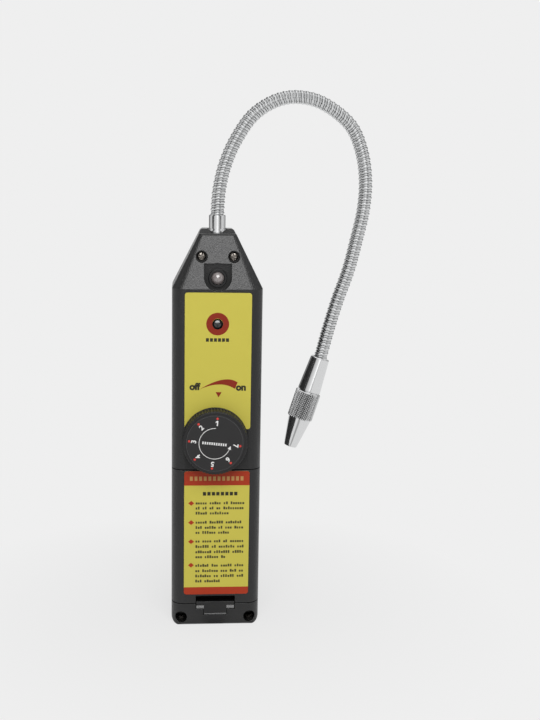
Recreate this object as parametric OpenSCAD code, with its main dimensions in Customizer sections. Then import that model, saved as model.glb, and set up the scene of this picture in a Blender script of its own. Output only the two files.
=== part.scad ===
// Refrigerant leak detector: a hand-held case with a dial, a battery door and a bendable probe neck
// Lengths in millimetres, +Z up, the face towards -Y, origin at the middle of the foot

/* [Case] */
// Width of the case
case_w = 44; // [43:0.5:50]
// Depth of the front half, from its face to the parting plane
front_d = 21; // [20:0.5:24]
// Depth of the rear half
rear_d = 21; // [18:0.5:26]
// Height of the shoulder, where the sloping nose begins
shoulder_h = 170; // [165:1:185]
// Height of the nose above the shoulder
nose_h = 28; // [27:0.5:32]
// Width of the nose's flat top
nose_top_w = 16; // [15:0.5:20]
// Reach of the sloping front before the parting plane, at the nose's full height
nose_front_d = 12; // [11:0.1:13.5]
// Reach of the nose's top behind the parting plane
nose_rear_d = 10.2; // [9.5:0.1:13.5]
// Radius of the upright edges
edge_r = 6.5; // [5:0.1:8]
// Radius of the nose's edges at its top
nose_edge_r = 2.1; // [1.8:0.1:2.8]
// Bevel round the nose's flat top
nose_bevel = 0.6; // [0.4:0.1:1.2]
// Height of the crown that stands round the collar's seat
crown_h = 2; // [1.5:0.1:2.4]
// Reach of the crown in front of the parting plane
crown_front_d = 4.6; // [4.2:0.1:5.4]
// Radius of the two lower corners, seen from the front
corner_r = 3.6; // [3:0.1:5]
// Rounding of the foot's front and rear edges
foot_r = 1.2; // [0.6:0.1:2]
// Wall of the mouldings
wall = 2.2; // [1.8:0.1:2.6]
// Width of the seams between mouldings
seam = 0.4; // [0.3:0.05:0.6]
// Depth of the groove along the parting plane
groove_d = 0.6; // [0.3:0.1:1]

/* [Case screws] */
// Distance of the nose screws from the middle
nose_screw_x = 7.8; // [7.5:0.1:9]
// Height of the nose screws above the shoulder
nose_screw_rise = 15.2; // [14:0.1:16]
// Distance of the foot screws from the case's sides
foot_screw_inset = 4.9; // [4.6:0.1:7]
// Height of the foot screws
foot_screw_z = 4.2; // [4:0.1:5]
// Diameter of the sunk holes for the heads
head_hole_d = 5.8; // [5.2:0.1:6.4]
// Diameter of the screw heads
head_d = 4.6; // [4:0.1:5]
// Height of the screw heads
head_h = 1.8; // [1.2:0.1:2.2]
// Diameter of the screw shanks
shank_d = 2.6; // [2:0.1:3]
// Length of the screw shanks
shank_len = 16; // [14:0.5:20]
// Depth of the nose screws' seats in front of the parting plane
nose_seat_d = 11.5; // [11:0.1:13]
// Depth of the foot screws' seats in front of the parting plane
foot_seat_d = 9; // [7:0.1:12]
// Diameter of the screw bosses
boss_d = 8; // [7.4:0.1:8.6]

/* [Battery door] */
// Height of the seam at the door's top above the battery tray
door_head = 2.35; // [2:0.05:6]
// Height of the seam at the door's foot, on the face
door_foot_z = 11.1; // [10.6:0.1:11.6]
// How far the door's sides reach back from the face
skirt_d = 10; // [8:0.5:12]
// Rounding of the door's upper edge, about its tilting line
door_edge_r = 0.4; // [0.3:0.1:0.8]
// Width of the latch and its slot
latch_w = 19; // [16:0.5:22]
// Height of the slot between the latch's two legs
slot_h = 3; // [2.4:0.1:3.6]
// Height of the slot's lower edge
slot_z = 12.3; // [12:0.1:13]
// Thickness of the latch's bent strip
latch_t = 1.4; // [1.1:0.1:1.6]
// How far the latch's legs reach back from the face
latch_reach = 8.5; // [7:0.1:9]
// Thickness of the latch's finger plate, from the face
plate_t = 1.8; // [1.4:0.1:2]
// Height of the finger plate's lower edge
plate_z = 8.6; // [8.2:0.1:9]
// How far the finger plate is sunk; it comes out to the face along its lower edge
plate_sink = 1; // [0.6:0.1:1.2]
// Width of the finger tab
tab_w = 11.3; // [9:0.1:13]
// Height of the finger tab's lower edge
tab_z = 5.6; // [5:0.1:6.4]
// Clearance round the latch
latch_gap = 0.35; // [0.3:0.05:0.5]
// Distance of the door's hooks from the middle
hook_x = 12; // [10:0.5:14]
// Width of the door's hooks
hook_w = 6; // [4:0.5:8]
// How far the hooks reach up behind the front cover
hook_h = 3; // [2:0.1:4]
// Thickness of the hooks
hook_t = 1.5; // [1.2:0.1:1.8]

/* [Battery tray] */
// Diameter of a cell
cell_d = 14.5; // [14:0.1:14.6]
// Length of a cell, with its button
cell_len = 50.5; // [49:0.1:50.6]
// Diameter of a cell's button
button_d = 5.5; // [4.5:0.1:6]
// Height of a cell's button
button_h = 1.2; // [0.8:0.1:1.6]
// Distance between the cells' axes
cell_pitch = 16; // [15.8:0.1:17]
// Play between a cell and its trough
cell_play = 0.25; // [0.15:0.05:0.4]
// Room between the cells and the door
cell_room = 0.9; // [0.6:0.1:1.4]
// Length of the pressed contact springs
spring_len = 6.6; // [6:0.1:8]
// Wire of the contact springs
spring_wire = 0.8; // [0.6:0.1:1]
// Thickness of the contact plates
contact_t = 0.4; // [0.3:0.05:0.6]
// Wall of the tray's ends and floor
tray_wall = 1.6; // [1.2:0.1:2]
// How far the tray's sides rise in front of the cells' axes
tray_rise = 3; // [2:0.1:4]
// Gap between the latch and the tray
tray_lift = 0.85; // [0.6:0.05:1.2]

/* [Dial] */
// Distance of the dial's shaft from the middle, to the right
dial_x = -0.9; // [-2:0.1:2]
// Diameter of the plain flange at the dial's foot
dial_d = 32.2; // [30:0.1:33]
// Diameter of the dial's rim at its face
dial_face_d = 31.5; // [29:0.1:31.7]
// Height of the dial
dial_h = 7.9; // [7.4:0.1:9]
// Gap behind the dial
dial_gap = 0.9; // [0.7:0.05:1.1]
// How far the dial reaches down over the door's seam, seen from the front
dial_dip = 0.7; // [0:0.05:0.8]
// Number of teeth round the rim
dial_teeth = 64; // [48:1:72]
// Depth of the teeth
tooth_d = 0.4; // [0.3:0.05:0.7]
// Height of the flange
flange_h = 1.2; // [0.8:0.1:2]
// How far the flange stands out beyond the teeth
flange_lip = 0.15; // [0.1:0.05:0.4]
// Bevel of the rim at the face
dial_bevel = 0.6; // [0.3:0.05:0.8]
// Diameter of the printed plate
dial_plate_d = 28.4; // [26:0.1:29]
// Thickness of the printed plate
dial_plate_t = 0.5; // [0.3:0.05:0.6]
// Thickness of the dial's face behind the plate
dial_web = 1.8; // [1.4:0.1:2.2]
// Thickness of the dial's rim
dial_rim = 1.6; // [1.4:0.1:2.2]
// Diameter of the shaft
shaft_d = 6; // [5:0.1:6.4]
// Diameter of the dial's hub
hub_d = 11; // [9:0.1:13]
// Radial running clearance of the shaft
run_fit = 0.05; // [0.02:0.01:0.1]

/* [Lamp and buzzer] */
// Diameter of the lamp
lamp_d = 6.4; // [5:0.1:6.6]
// Height of the lamp's middle above the shoulder
lamp_rise = 4.9; // [4.6:0.1:5.4]
// How far the lamp's dome stands out of its ring
lamp_proud = 1.9; // [1:0.1:2.4]
// Outer diameter of the lamp's ring
lamp_ring_d = 9.2; // [8.6:0.1:9.6]
// Height of the lamp's ring above the pocket's floor
lamp_ring_h = 1.4; // [0.8:0.1:1.6]
// Width of the lamp's pocket
pocket_w = 13.4; // [12:0.1:14]
// Height of the pocket's straight upper edge above the shoulder
pocket_rise = 12; // [11:0.1:12]
// Depth of the pocket's floor behind the face
pocket_d = 4.8; // [4.6:0.1:5.2]
// Diameter of the buzzer's hole
buzzer_hole_d = 5.3; // [4.6:0.1:6]
// Distance of the buzzer below the shoulder
buzzer_drop = 16.8; // [15:0.1:19]
// Diameter of the buzzer's can
buzzer_d = 12; // [9:0.1:14]
// Gap round the buzzer's domed nose
buzzer_gap = 0.3; // [0.2:0.05:0.4]

/* [Board] */
// Distance of the board's front from the face
board_set = 11; // [10.6:0.1:12]
// Thickness of the board
board_t = 1.6; // [1:0.1:2]
// Gap between the board and the case's sides
board_gap = 4.3; // [3.5:0.1:5]
// Height of the board's foot above the tray
board_lift = 5.7; // [4:0.1:7]
// Drop of the board's wide part below the shoulder
board_drop = 4; // [3:0.1:6]
// Width of the board's upper tongue
tongue_w = 20; // [18:0.5:21]
// Height of the board's upper tongue above the shoulder
tongue_rise = 10; // [8:0.1:10.5]
// Distance of the board's screws from its edges
post_inset = 3.4; // [3:0.1:4]
// Diameter of the posts under the board
post_d = 6; // [5:0.1:6.4]
// Diameter of the potentiometer
pot_d = 16.5; // [15:0.1:17]
// Height of the potentiometer on the board
pot_h = 7; // [6:0.1:7.6]
// Diameter of the potentiometer's bushing
bushing_d = 7.2; // [7:0.1:8]

/* [Labels] */
// Width of both labels
label_w = 32.2; // [28:0.1:33]
// Distance of both labels from the middle, to the right
label_x = 0.3; // [-0.6:0.1:0.6]
// Thickness of the label foil
label_t = 0.25; // [0.15:0.05:0.3]
// Radius of the labels' corners
label_r = 1.3; // [0.8:0.1:2]
// Distance of the upper label's top below the shoulder
label_drop = 1.6; // [1.5:0.1:3]
// Height of the upper label's foot above the dial's middle
label_lift = 5; // [2:0.1:8]
// Margin of the door's label below the door's upper edge
door_label_drop = 0.05; // [0.05:0.05:1]
// Height of the door label's foot
door_label_z = 16.3; // [15.6:0.1:18]

/* [Neck] */
// Outer diameter of the gooseneck
neck_d = 7; // [6:0.1:7.2]
// Bore of the gooseneck
neck_bore_d = 4; // [3:0.1:4.4]
// Depth of the windings
winding_d = 0.55; // [0.3:0.05:0.7]
// Pitch of the windings
winding_pitch = 2.6; // [2.2:0.1:3.2]
// Diameter of the sensor's lead
lead_d = 2; // [1.6:0.1:2.4]
// Outer diameter of the collar
collar_d = 8.2; // [8:0.1:9]
// Height of the collar above its seat
collar_h = 8.7; // [7:0.1:11]
// Diameter of the collar's foot
collar_foot_d = 9.4; // [9:0.1:10]
// Gap between the collar's foot and the crown
collar_gap = 0.4; // [0.3:0.05:0.6]
// Height of the collar's foot
collar_foot_h = 1; // [0.6:0.1:1.6]
// Diameter of the collar's threaded tail
tail_d = 7; // [6.4:0.1:7.2]
// Width of the collar's nut across its flats
nut_w = 10; // [9:0.1:11]
// Thickness of the collar's nut
nut_h = 3; // [2.4:0.1:3.4]
// Play between the neck and what holds it
neck_fit = 0.05; // [0.02:0.01:0.1]
// Depth of the neck's ends in the collar and the sleeve
neck_seat = 6; // [4:0.1:6.5]

/* [Probe tip] */
// Lean of the tip from the upright
tip_lean = 17.5; // [12:0.5:20]
// Diameter of the sleeve where the neck goes in
sleeve_d = 9.6; // [9:0.1:10.4]
// Diameter of the sleeve at the cap
sleeve_end_d = 11.7; // [11:0.1:12]
// Length of the sleeve
sleeve_len = 18.1; // [16:0.1:20]
// Diameter of the spigot that the cap screws on
spigot_d = 9.2; // [8.8:0.1:9.6]
// Length of the spigot
spigot_len = 9; // [7:0.1:10]
// Diameter over the cap's knurl
knurl_d = 12.9; // [12:0.1:13.2]
// Length of the knurl
knurl_len = 14.4; // [13:0.1:17]
// Number of grooves round the knurl
knurl_count = 54; // [40:1:60]
// Depth of the knurl
knurl_deep = 0.3; // [0.2:0.05:0.4]
// Diameter at the root of the cap's nose
cone_d = 11.7; // [11:0.1:12]
// Diameter at the end of the cap's nose
cone_end_d = 6.8; // [6:0.1:8]
// Length of the cap's nose
cone_len = 15.3; // [12:0.1:17]
// Diameter of the air hole in the cap's nose
air_hole_d = 4; // [3:0.1:4.6]
// Diameter of the sensor
sensor_d = 6.4; // [5.6:0.1:6.6]
// Length of the sensor in front of its socket
sensor_len = 12; // [10:0.1:14]
// Diameter of the socket
socket_d = 7; // [6.8:0.1:7.2]
// Length of the socket
socket_len = 8; // [6:0.1:9]

/* [Hidden] */
$fn = 64;

// Colours
plastic = [0.21, 0.21, 0.215];
dark_plastic = [0.15, 0.15, 0.155];
foil_yellow = [0.79, 0.75, 0.32];
steel = [0.72, 0.73, 0.75];
chrome = [0.84, 0.85, 0.86];
copper = [0.78, 0.60, 0.25];

// Sides of a cut that runs out of the case
far = 4 * shoulder_h;
// The nose starts a hair inside the shoulder, on a short root
nose_skin = 0.02;
nose_root = 1;
nose_slice = 0.05;
nose_facets = 48;
front_y = -front_d;
top_z = shoulder_h + nose_h;
collar_seat_z = top_z - crown_h;
// Depth of the sloping front at the height of the collar's seat
ledge_d = front_d + (nose_front_d - front_d) * (nose_h - crown_h) / nose_h;
foot_screw_x = case_w / 2 - foot_screw_inset;
nose_screw_z = shoulder_h + nose_screw_rise;
// Room of a screw's shank in the front cover and in the rear boss
shank_gap = 0.3;
pilot_gap = 0.05;
pilot_run = 2;
cross_w = 0.8;
cross_d = 1;

// Battery tray, from the latch upwards
slot_top_z = slot_z + slot_h;
tray_z = slot_top_z + latch_t + tray_lift;
tray_in = tray_z + tray_wall;
cell_room_len = cell_len + spring_len + 2 * contact_t;
tray_top = tray_in + cell_room_len + tray_wall;
tray_fit = 0.15;
tray_w = case_w - 2 * wall - 2 * tray_fit;
cell_y = front_y + wall + cell_room + cell_d / 2;
tray_front_y = cell_y - tray_rise;
tray_back_y = cell_y + cell_d / 2 + cell_play + tray_wall;
trough_r = cell_d / 2 + cell_play;
tray_rib_w = 3;
tray_rib_x = tray_w / 2 - 2 * tray_rib_w;
tray_rib_y = tray_front_y + tray_rise;
lower_contact_z = tray_in + contact_t;
upper_contact_z = tray_in + cell_room_len - contact_t;
contact_w = 10;
contact_d = 10;
spring_turns = 4;
spring_d = 9;

// The line about which the door tilts, along X
door_top_z = tray_top + door_head;
hinge_y = front_y + door_edge_r;
hinge_z = door_top_z - seam - door_edge_r;
band_reach = hinge_z - door_foot_z;
door_reach = band_reach - seam;
latch_bend_y = front_y + latch_reach;
latch_out_r = slot_h / 2 + latch_t;
latch_back_y = latch_bend_y + latch_out_r;
latch_sweep = norm([latch_back_y - hinge_y, hinge_z - slot_z + latch_t]) + latch_gap;
tab_lip = 0.35 * plate_sink;
// Rise of a plate's ramp for each unit that it comes forward
ramp_rise = 1.4;
band_t = 7;
hook_gap = 0.3;
hook_root = 3;
hook_drop = 1.6;

// Dial, in front of the face
dial_z = door_top_z - dial_dip + dial_d / 2;
dial_face = dial_gap + dial_h;
dial_floor = dial_face - dial_plate_t;
dial_root_r = dial_face_d / 2 - tooth_d;
plate_fit = 0.1;
shaft_run = 4;

// Lamp, buzzer and board
lamp_z = shoulder_h + lamp_rise;
pocket_dip = 1.1;
pocket_z = shoulder_h - pocket_dip + pocket_w / 2;
pocket_y = front_y + pocket_d;
pocket_top = shoulder_h + pocket_rise;
part_fit = 0.05;
lamp_wall = 0.6;
lamp_flange_h = 1;
lamp_flange_w = 0.5;
lamp_wire_d = 0.6;
lamp_wire_x = 1.27;
buzzer_z = shoulder_h - buzzer_drop;
buzzer_nose_r = buzzer_hole_d / 2 - buzzer_gap;
buzzer_top = 0.6;
board_y = front_y + board_set;
board_back = board_y + board_t;
board_w = case_w - 2 * wall - 2 * board_gap;
board_z = tray_top + board_lift;
board_top = shoulder_h - board_drop;
tongue_top = shoulder_h + tongue_rise;
post_x = board_w / 2 - post_inset;
post_low_z = board_z + post_inset;
post_high_z = board_top - post_inset;
board_shank_d = 2;
board_shank_len = 7;
board_head_d = 4;
board_head_h = 1.5;
board_hole_gap = 0.3;

// Neck: the route's points are measured from the collar's rim, to the right and upwards
collar_top = collar_seat_z + collar_h;
neck_start = collar_top - neck_seat;
neck_route = [[0.8, 12], [3.5, 24], [8.6, 36], [17.1, 48.3], [28.6, 55.6], [40.4, 57.3], [52.5, 53.9],
              [64.9, 44.4], [70.8, 32], [73.2, 17.8], [72.5, 3], [69.4, -12], [65.8, -27],
              [60.7, -42.1], [56.3, -57.5]];
tip_top = [52.9, -71.1];
tip_way = [-sin(tip_lean), -cos(tip_lean)];
neck_sides = 10;
neck_rings_per_turn = 3;
neck_inner_step = 6;
curve_steps = 24;
lead_sides = 8;
lead_step = 5;
lead_end = 2;
passage_d = lead_d + 1;
tail_run = 1.5;
rim_bevel = 0.4;
cap_gap = 0.35;
chamber_wall = 1.2;

// Plan of the case with round corners: width, reach forward, reach back, radius
module plan(w, front, back, r) {
    translate([-w / 2 + r, -front]) square([w - 2 * r, front + back]);
    translate([-w / 2, -front + r]) square([w, front + back - 2 * r]);
    for (x = [-1, 1], y = [-front + r, back - r])
        translate([x * (w / 2 - r), y]) circle(r);
}

// Upright outline with two round lower corners
module upright(left, right, foot, top, r) {
    translate([left, foot + r]) square([right - left, top - foot - r]);
    translate([left + r, foot]) square([right - left - 2 * r, top - foot]);
    for (x = [left + r, right - r])
        translate([x, foot + r]) circle(r);
}

// Straight part of the case, drawn in by inset on every side
module straight_part(inset) {
    small_r = max(foot_r - inset, 0.1);
    intersection() {
        linear_extrude(shoulder_h)
            plan(case_w - 2 * inset, front_d - inset, rear_d - inset, edge_r - inset);
        rotate([90, 0, 0]) linear_extrude(far, center = true)
            upright(inset - case_w / 2, case_w / 2 - inset, inset, far, corner_r - inset);
        rotate([90, 0, 90]) linear_extrude(far, center = true)
            upright(front_y + inset, rear_d - inset, inset, far, small_r);
    }
}

// Section of the nose at a height, drawn in by inset
module nose_section(z, inset) {
    share = (z - shoulder_h) / nose_h;
    w = case_w + (nose_top_w - case_w) * share;
    front = front_d + (nose_front_d - front_d) * share;
    back = rear_d + (nose_rear_d - rear_d) * share;
    r = edge_r + (nose_edge_r - edge_r) * share;
    plan(w - 2 * inset, front - inset, back - inset, max(r - inset, 0.3), $fn = nose_facets);
}

// Sloping nose, lofted from the shoulder to its small flat top
module nose(inset, bevel, top) {
    hull() {
        translate([0, 0, shoulder_h - nose_root]) linear_extrude(nose_root)
            nose_section(shoulder_h, inset + nose_skin);
        translate([0, 0, top - bevel - nose_slice]) linear_extrude(nose_slice)
            nose_section(top - bevel, inset);
        translate([0, 0, top - nose_slice]) linear_extrude(nose_slice)
            nose_section(top, inset + bevel);
    }
}

module case_form(inset, bevel, top) {
    straight_part(inset);
    nose(inset, bevel, top);
}

// Space in front of the crown, above the sloping front
module ledge() {
    rotate([90, 0, 90]) linear_extrude(far, center = true) polygon([
        [-ledge_d - crown_h, collar_seat_z - nose_bevel - crown_h], [nose_bevel - ledge_d, collar_seat_z],
        [-crown_front_d, collar_seat_z], [crown_h - crown_front_d, top_z], [crown_h - crown_front_d, far],
        [-far, far]]);
}

// Hole for the collar's tail, and the seat of its foot
module collar_hole() {
    translate([0, 0, shoulder_h]) cylinder(h = far, r = tail_d / 2 + neck_fit);
    translate([0, 0, collar_seat_z]) cylinder(h = far, r = collar_foot_d / 2 + collar_gap);
}

module along_x(y, z, r) {
    translate([0, y, z]) rotate([0, 90, 0]) cylinder(h = far, r = r, center = true);
}

module along_y(x, z, from, to, r) {
    translate([x, from, z]) rotate([-90, 0, 0]) cylinder(h = to - from, r = r);
}

// Everything on one side of the parting plane
module half(side) {
    translate([-far / 2, side < 0 ? -far : 0, -far / 2]) cube([far, far, far]);
}

// Thin shadow line where the two halves meet
module parting_groove() {
    difference() {
        translate([-far / 2, -seam / 2, -far / 2]) cube([far, seam, far]);
        case_form(groove_d, nose_bevel, top_z - groove_d);
    }
}

module at_screws() {
    for (x = [-1, 1]) {
        translate([x * nose_screw_x, -nose_seat_d, nose_screw_z]) children();
        translate([x * foot_screw_x, -foot_seat_d, foot_screw_z]) children();
    }
}

// Space that the door leaves in the front cover
module door_opening() {
    intersection() {
        translate([-far / 2, front_y - far, -far]) cube([far, far + skirt_d + seam, far + door_top_z]);
        along_x(hinge_y, hinge_z, band_reach);
    }
}

// Side view of the door, with its rounded upper edge about the tilting line
module door_side() {
    translate([hinge_y, hinge_z]) circle(door_edge_r);
    translate([front_y, 0]) square([skirt_d, hinge_z]);
    translate([hinge_y, 0]) square([skirt_d - door_edge_r, hinge_z + door_edge_r]);
}

// Side view of the latch: a strip bent to a U, open to the face
module latch_side() {
    difference() {
        union() {
            translate([front_y + wall / 2, slot_top_z]) square([latch_reach - wall / 2, latch_t]);
            translate([front_y, slot_z - latch_t]) square([latch_reach, latch_t]);
            translate([latch_bend_y, slot_z + slot_h / 2]) circle(latch_out_r);
        }
        translate([latch_bend_y, slot_z + slot_h / 2]) circle(slot_h / 2);
        translate([front_y, slot_z]) square([latch_reach, slot_h]);
    }
}

// Plate that hangs from the latch's lower leg, with a ramp along its lower edge
module latch_plate(w, foot, sink, ramp) {
    back = front_y + plate_t;
    rotate([90, 0, 90]) linear_extrude(w, center = true) polygon([
        [front_y + sink, slot_z], [front_y + sink, foot + ramp_rise * ramp], [front_y + sink - ramp, foot],
        [back, foot], [back, slot_z]]);
}

// Bare room in the foot band for the latch and its swing
module latch_recess() {
    back = plate_t + latch_gap;
    plate_room = latch_w + 2 * latch_gap;
    tab_room = tab_w + 2 * latch_gap;
    translate([-plate_room / 2, front_y - far, plate_z - latch_gap])
        cube([plate_room, far + back, slot_top_z - plate_z + latch_gap]);
    translate([-tab_room / 2, front_y - far, tab_z - latch_gap])
        cube([tab_room, far + back, slot_top_z - tab_z + latch_gap]);
    intersection() {
        translate([-plate_room / 2, front_y - far, 0])
            cube([plate_room, far + latch_back_y - front_y + latch_gap, slot_top_z]);
        along_x(hinge_y, hinge_z, latch_sweep);
    }
}

// Outline of the lamp's pocket: straight above, round below
module pocket_outline(margin) {
    r = pocket_w / 2 + margin;
    translate([0, pocket_z]) circle(r);
    translate([-r, pocket_z]) square([2 * r, pocket_top + margin - pocket_z]);
}

module at_board_posts() {
    for (x = [-post_x, post_x], z = [post_low_z, post_high_z])
        translate([x, 0, z]) children();
}

module front_cover() {
    color(plastic) difference() {
        intersection() {
            case_form(0, nose_bevel, top_z);
            half(-1);
            union() {
                difference() {
                    translate([-far / 2, -far / 2, -far / 2]) cube(far);
                    case_form(wall, 0, collar_seat_z - wall);
                }
                // Bosses of the four case screws
                for (x = [-1, 1]) {
                    along_y(x * nose_screw_x, nose_screw_z, front_y, 0, boss_d / 2);
                    along_y(x * foot_screw_x, foot_screw_z, front_y, 0, boss_d / 2);
                }
                // Thick band under the door
                translate([-case_w / 2, front_y, 0]) cube([case_w, band_t, slot_z]);
                // Ribs that carry the battery tray
                for (x = [-1, 1])
                    translate([x * tray_rib_x - tray_rib_w / 2, tray_rib_y, 0])
                        cube([tray_rib_w, tray_back_y - tray_rib_y, tray_z]);
                // Box behind the lamp's pocket
                translate([0, pocket_y + wall, 0]) rotate([90, 0, 0])
                    linear_extrude(pocket_d + wall) pocket_outline(wall);
                // Posts of the circuit board
                at_board_posts() along_y(0, 0, front_y, board_y, post_d / 2);
            }
        }
        door_opening();
        latch_recess();
        parting_groove();
        // Sunk holes and shank holes of the case screws
        at_screws() along_y(0, 0, -far, 0, head_hole_d / 2);
        at_screws() along_y(0, 0, -1, far, shank_d / 2 + shank_gap);
        // Lamp's pocket, and the hole in its floor
        translate([0, pocket_y, 0]) rotate([90, 0, 0]) linear_extrude(far) pocket_outline(0);
        along_y(0, lamp_z, pocket_y - 1, pocket_y + wall + 1, lamp_d / 2 + lamp_wall + 2 * part_fit);
        along_y(0, buzzer_z, front_y - 1, front_y + wall + 1, buzzer_hole_d / 2);
        along_y(dial_x, dial_z, front_y - 1, front_y + wall + 1, bushing_d / 2 + part_fit);
        at_board_posts() along_y(0, 0, board_y - board_shank_len, 0, board_shank_d / 2 + part_fit);
        collar_hole();
        ledge();
    }
}

module rear_cover() {
    color(plastic) difference() {
        intersection() {
            case_form(0, nose_bevel, top_z);
            half(1);
            union() {
                difference() {
                    translate([-far / 2, -far / 2, -far / 2]) cube(far);
                    case_form(wall, 0, collar_seat_z - wall);
                }
                for (x = [-1, 1]) {
                    along_y(x * nose_screw_x, nose_screw_z, 0, rear_d, boss_d / 2);
                    along_y(x * foot_screw_x, foot_screw_z, 0, rear_d, boss_d / 2);
                }
            }
        }
        parting_groove();
        at_screws() along_y(0, 0, 0, shank_len + pilot_run, shank_d / 2 + pilot_gap);
        collar_hole();
    }
}

module battery_door() {
    color(plastic) {
        difference() {
            intersection() {
                straight_part(0);
                rotate([90, 0, 90]) linear_extrude(case_w, center = true) door_side();
                along_x(hinge_y, hinge_z, door_reach);
            }
            straight_part(wall);
            // Notch of the latch
            translate([-latch_w / 2 - latch_gap, front_y - 1, 0])
                cube([latch_w + 2 * latch_gap, wall + 2, slot_top_z]);
        }
        // Latch: bent strip, finger plate and finger tab
        rotate([90, 0, 90]) linear_extrude(latch_w, center = true) latch_side();
        latch_plate(latch_w, plate_z, plate_sink, plate_sink);
        latch_plate(tab_w, tab_z, 0, tab_lip);
        // Hooks that hold the door's upper edge behind the front cover
        for (x = [-1, 1]) {
            translate([x * hook_x - hook_w / 2, front_y + wall + hook_gap, hinge_z - hook_root])
                cube([hook_w, hook_t, hook_root + door_top_z - hinge_z + hook_h]);
            translate([x * hook_x - hook_w / 2, front_y + wall / 2, hinge_z - hook_root])
                cube([hook_w, wall / 2 + hook_gap + hook_t / 2, hook_root - hook_drop]);
        }
    }
}

module label(foot, top) {
    translate([0, front_y, 0]) rotate([90, 0, 0]) linear_extrude(label_t)
        translate([label_x, foot]) plan(label_w, 0, top - foot, label_r);
}

module front_label() {
    color(foil_yellow) difference() {
        label(dial_z + label_lift, shoulder_h - label_drop);
        along_y(0, buzzer_z, front_y - 1, front_y + 1, buzzer_hole_d / 2);
    }
}

module door_label() {
    color(foil_yellow) label(door_label_z, hinge_z - door_label_drop);
}

// Screw with a cross recess, seated at the origin and pointing along +Y
module cross_screw(d, len, h_d, h_h) {
    difference() {
        union() {
            along_y(0, 0, -h_h, 0, h_d / 2);
            along_y(0, 0, 0, len, d / 2);
        }
        for (a = [0, 90])
            rotate([0, a, 0]) translate([-h_d / 3, -h_h, -cross_w / 2]) cube([h_d / 1.5, cross_d, cross_w]);
    }
}

module case_screws() {
    color(steel) at_screws() cross_screw(shank_d, shank_len, head_d, head_h);
}

module lamp_ring() {
    bore = lamp_d / 2 + part_fit;
    color(dark_plastic) translate([0, pocket_y, lamp_z]) rotate([90, 0, 0]) difference() {
        union() {
            cylinder(h = lamp_ring_h, r1 = lamp_ring_d / 2, r2 = lamp_ring_d / 2 - lamp_wall / 2);
            translate([0, 0, -wall]) cylinder(h = wall, r = bore + lamp_wall);
        }
        translate([0, 0, -far / 2]) cylinder(h = far, r = bore);
    }
}

module indicator_lamp() {
    r = lamp_d / 2;
    tip = lamp_ring_h + lamp_proud;
    color([0.86, 0.86, 0.84]) translate([0, pocket_y, lamp_z]) rotate([90, 0, 0]) {
        translate([0, 0, -wall - lamp_flange_h]) cylinder(h = lamp_flange_h, r = r + lamp_flange_w);
        translate([0, 0, -wall]) cylinder(h = wall + tip - r, r = r);
        translate([0, 0, tip - r]) sphere(r);
        for (x = [-lamp_wire_x, lamp_wire_x])
            translate([x, 0, pocket_y - board_y]) cylinder(h = board_y - pocket_y - wall, d = lamp_wire_d);
    }
}

// Round can with a domed nose in the hole of the face
module buzzer() {
    can_front = wall + buzzer_top;
    steps = 8;
    dome = [for (i = [0 : steps])
        let (a = 90 * i / steps) [buzzer_nose_r * cos(a), buzzer_nose_r / 2 * (1 - sin(a))]];
    color(dark_plastic) translate([0, front_y, buzzer_z]) rotate([-90, 0, 0]) rotate_extrude()
        polygon(concat([[0, board_set], [buzzer_d / 2, board_set], [buzzer_d / 2, can_front],
                        [buzzer_nose_r, can_front]], dome));
}

// Frame of the dial: +Z out of the face, along the shaft
module at_dial() {
    translate([dial_x, front_y, dial_z]) rotate([90, 0, 0]) children();
}

// Ring of small teeth, as a closed outline
function toothed(tip_r, root_r, count) = [
    for (i = [0 : count - 1], k = [[0, tip_r], [0.4, tip_r], [0.6, root_r], [0.8, root_r]])
        let (a = 360 * (i + k[0]) / count) k[1] * [cos(a), sin(a)]];

module sensitivity_dial() {
    tip_r = dial_d / 2 - flange_lip;
    bevel_r = dial_face_d / 2 - dial_bevel;
    color(dark_plastic) at_dial() difference() {
        union() {
            intersection() {
                translate([0, 0, dial_gap]) linear_extrude(dial_h, scale = dial_face_d / 2 / tip_r)
                    polygon(toothed(tip_r, tip_r - tooth_d, dial_teeth));
                rotate_extrude() polygon([[0, dial_gap], [bevel_r + dial_h, dial_gap],
                                          [bevel_r, dial_face], [0, dial_face]]);
            }
            translate([0, 0, dial_gap]) cylinder(h = flange_h, r = dial_d / 2);
        }
        // Seat of the printed plate
        translate([0, 0, dial_floor]) cylinder(h = far, r = dial_plate_d / 2 + plate_fit);
        // Hollow behind the face, round the hub
        difference() {
            cylinder(h = dial_floor - dial_web, r = dial_root_r - dial_rim);
            cylinder(h = dial_floor, r = hub_d / 2);
        }
        cylinder(h = dial_floor - dial_web, r = shaft_d / 2);
    }
}

module dial_plate() {
    color(plastic) at_dial() translate([0, 0, dial_floor]) cylinder(h = dial_plate_t, r = dial_plate_d / 2);
}

module sensitivity_pot() {
    color(steel) at_dial() difference() {
        union() {
            translate([0, 0, -board_set]) cylinder(h = pot_h, r = pot_d / 2);
            translate([0, 0, -board_set]) cylinder(h = board_set, r = bushing_d / 2);
        }
        translate([0, 0, -board_set + pot_h - shaft_run]) cylinder(h = far, r = shaft_d / 2 + run_fit);
    }
}

module pot_shaft() {
    foot = -board_set + pot_h - shaft_run + run_fit;
    color(chrome) at_dial() translate([0, 0, foot]) cylinder(h = dial_floor - dial_web - foot, r = shaft_d / 2);
}

module circuit_board() {
    color([0.12, 0.36, 0.20]) difference() {
        translate([0, board_back, 0]) rotate([90, 0, 0]) linear_extrude(board_t) {
            translate([-board_w / 2, board_z]) square([board_w, board_top - board_z]);
            translate([-tongue_w / 2, board_z]) square([tongue_w, tongue_top - board_z]);
        }
        at_board_posts() along_y(0, 0, board_y - 1, board_back + 1, board_shank_d / 2 + board_hole_gap);
    }
}

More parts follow.
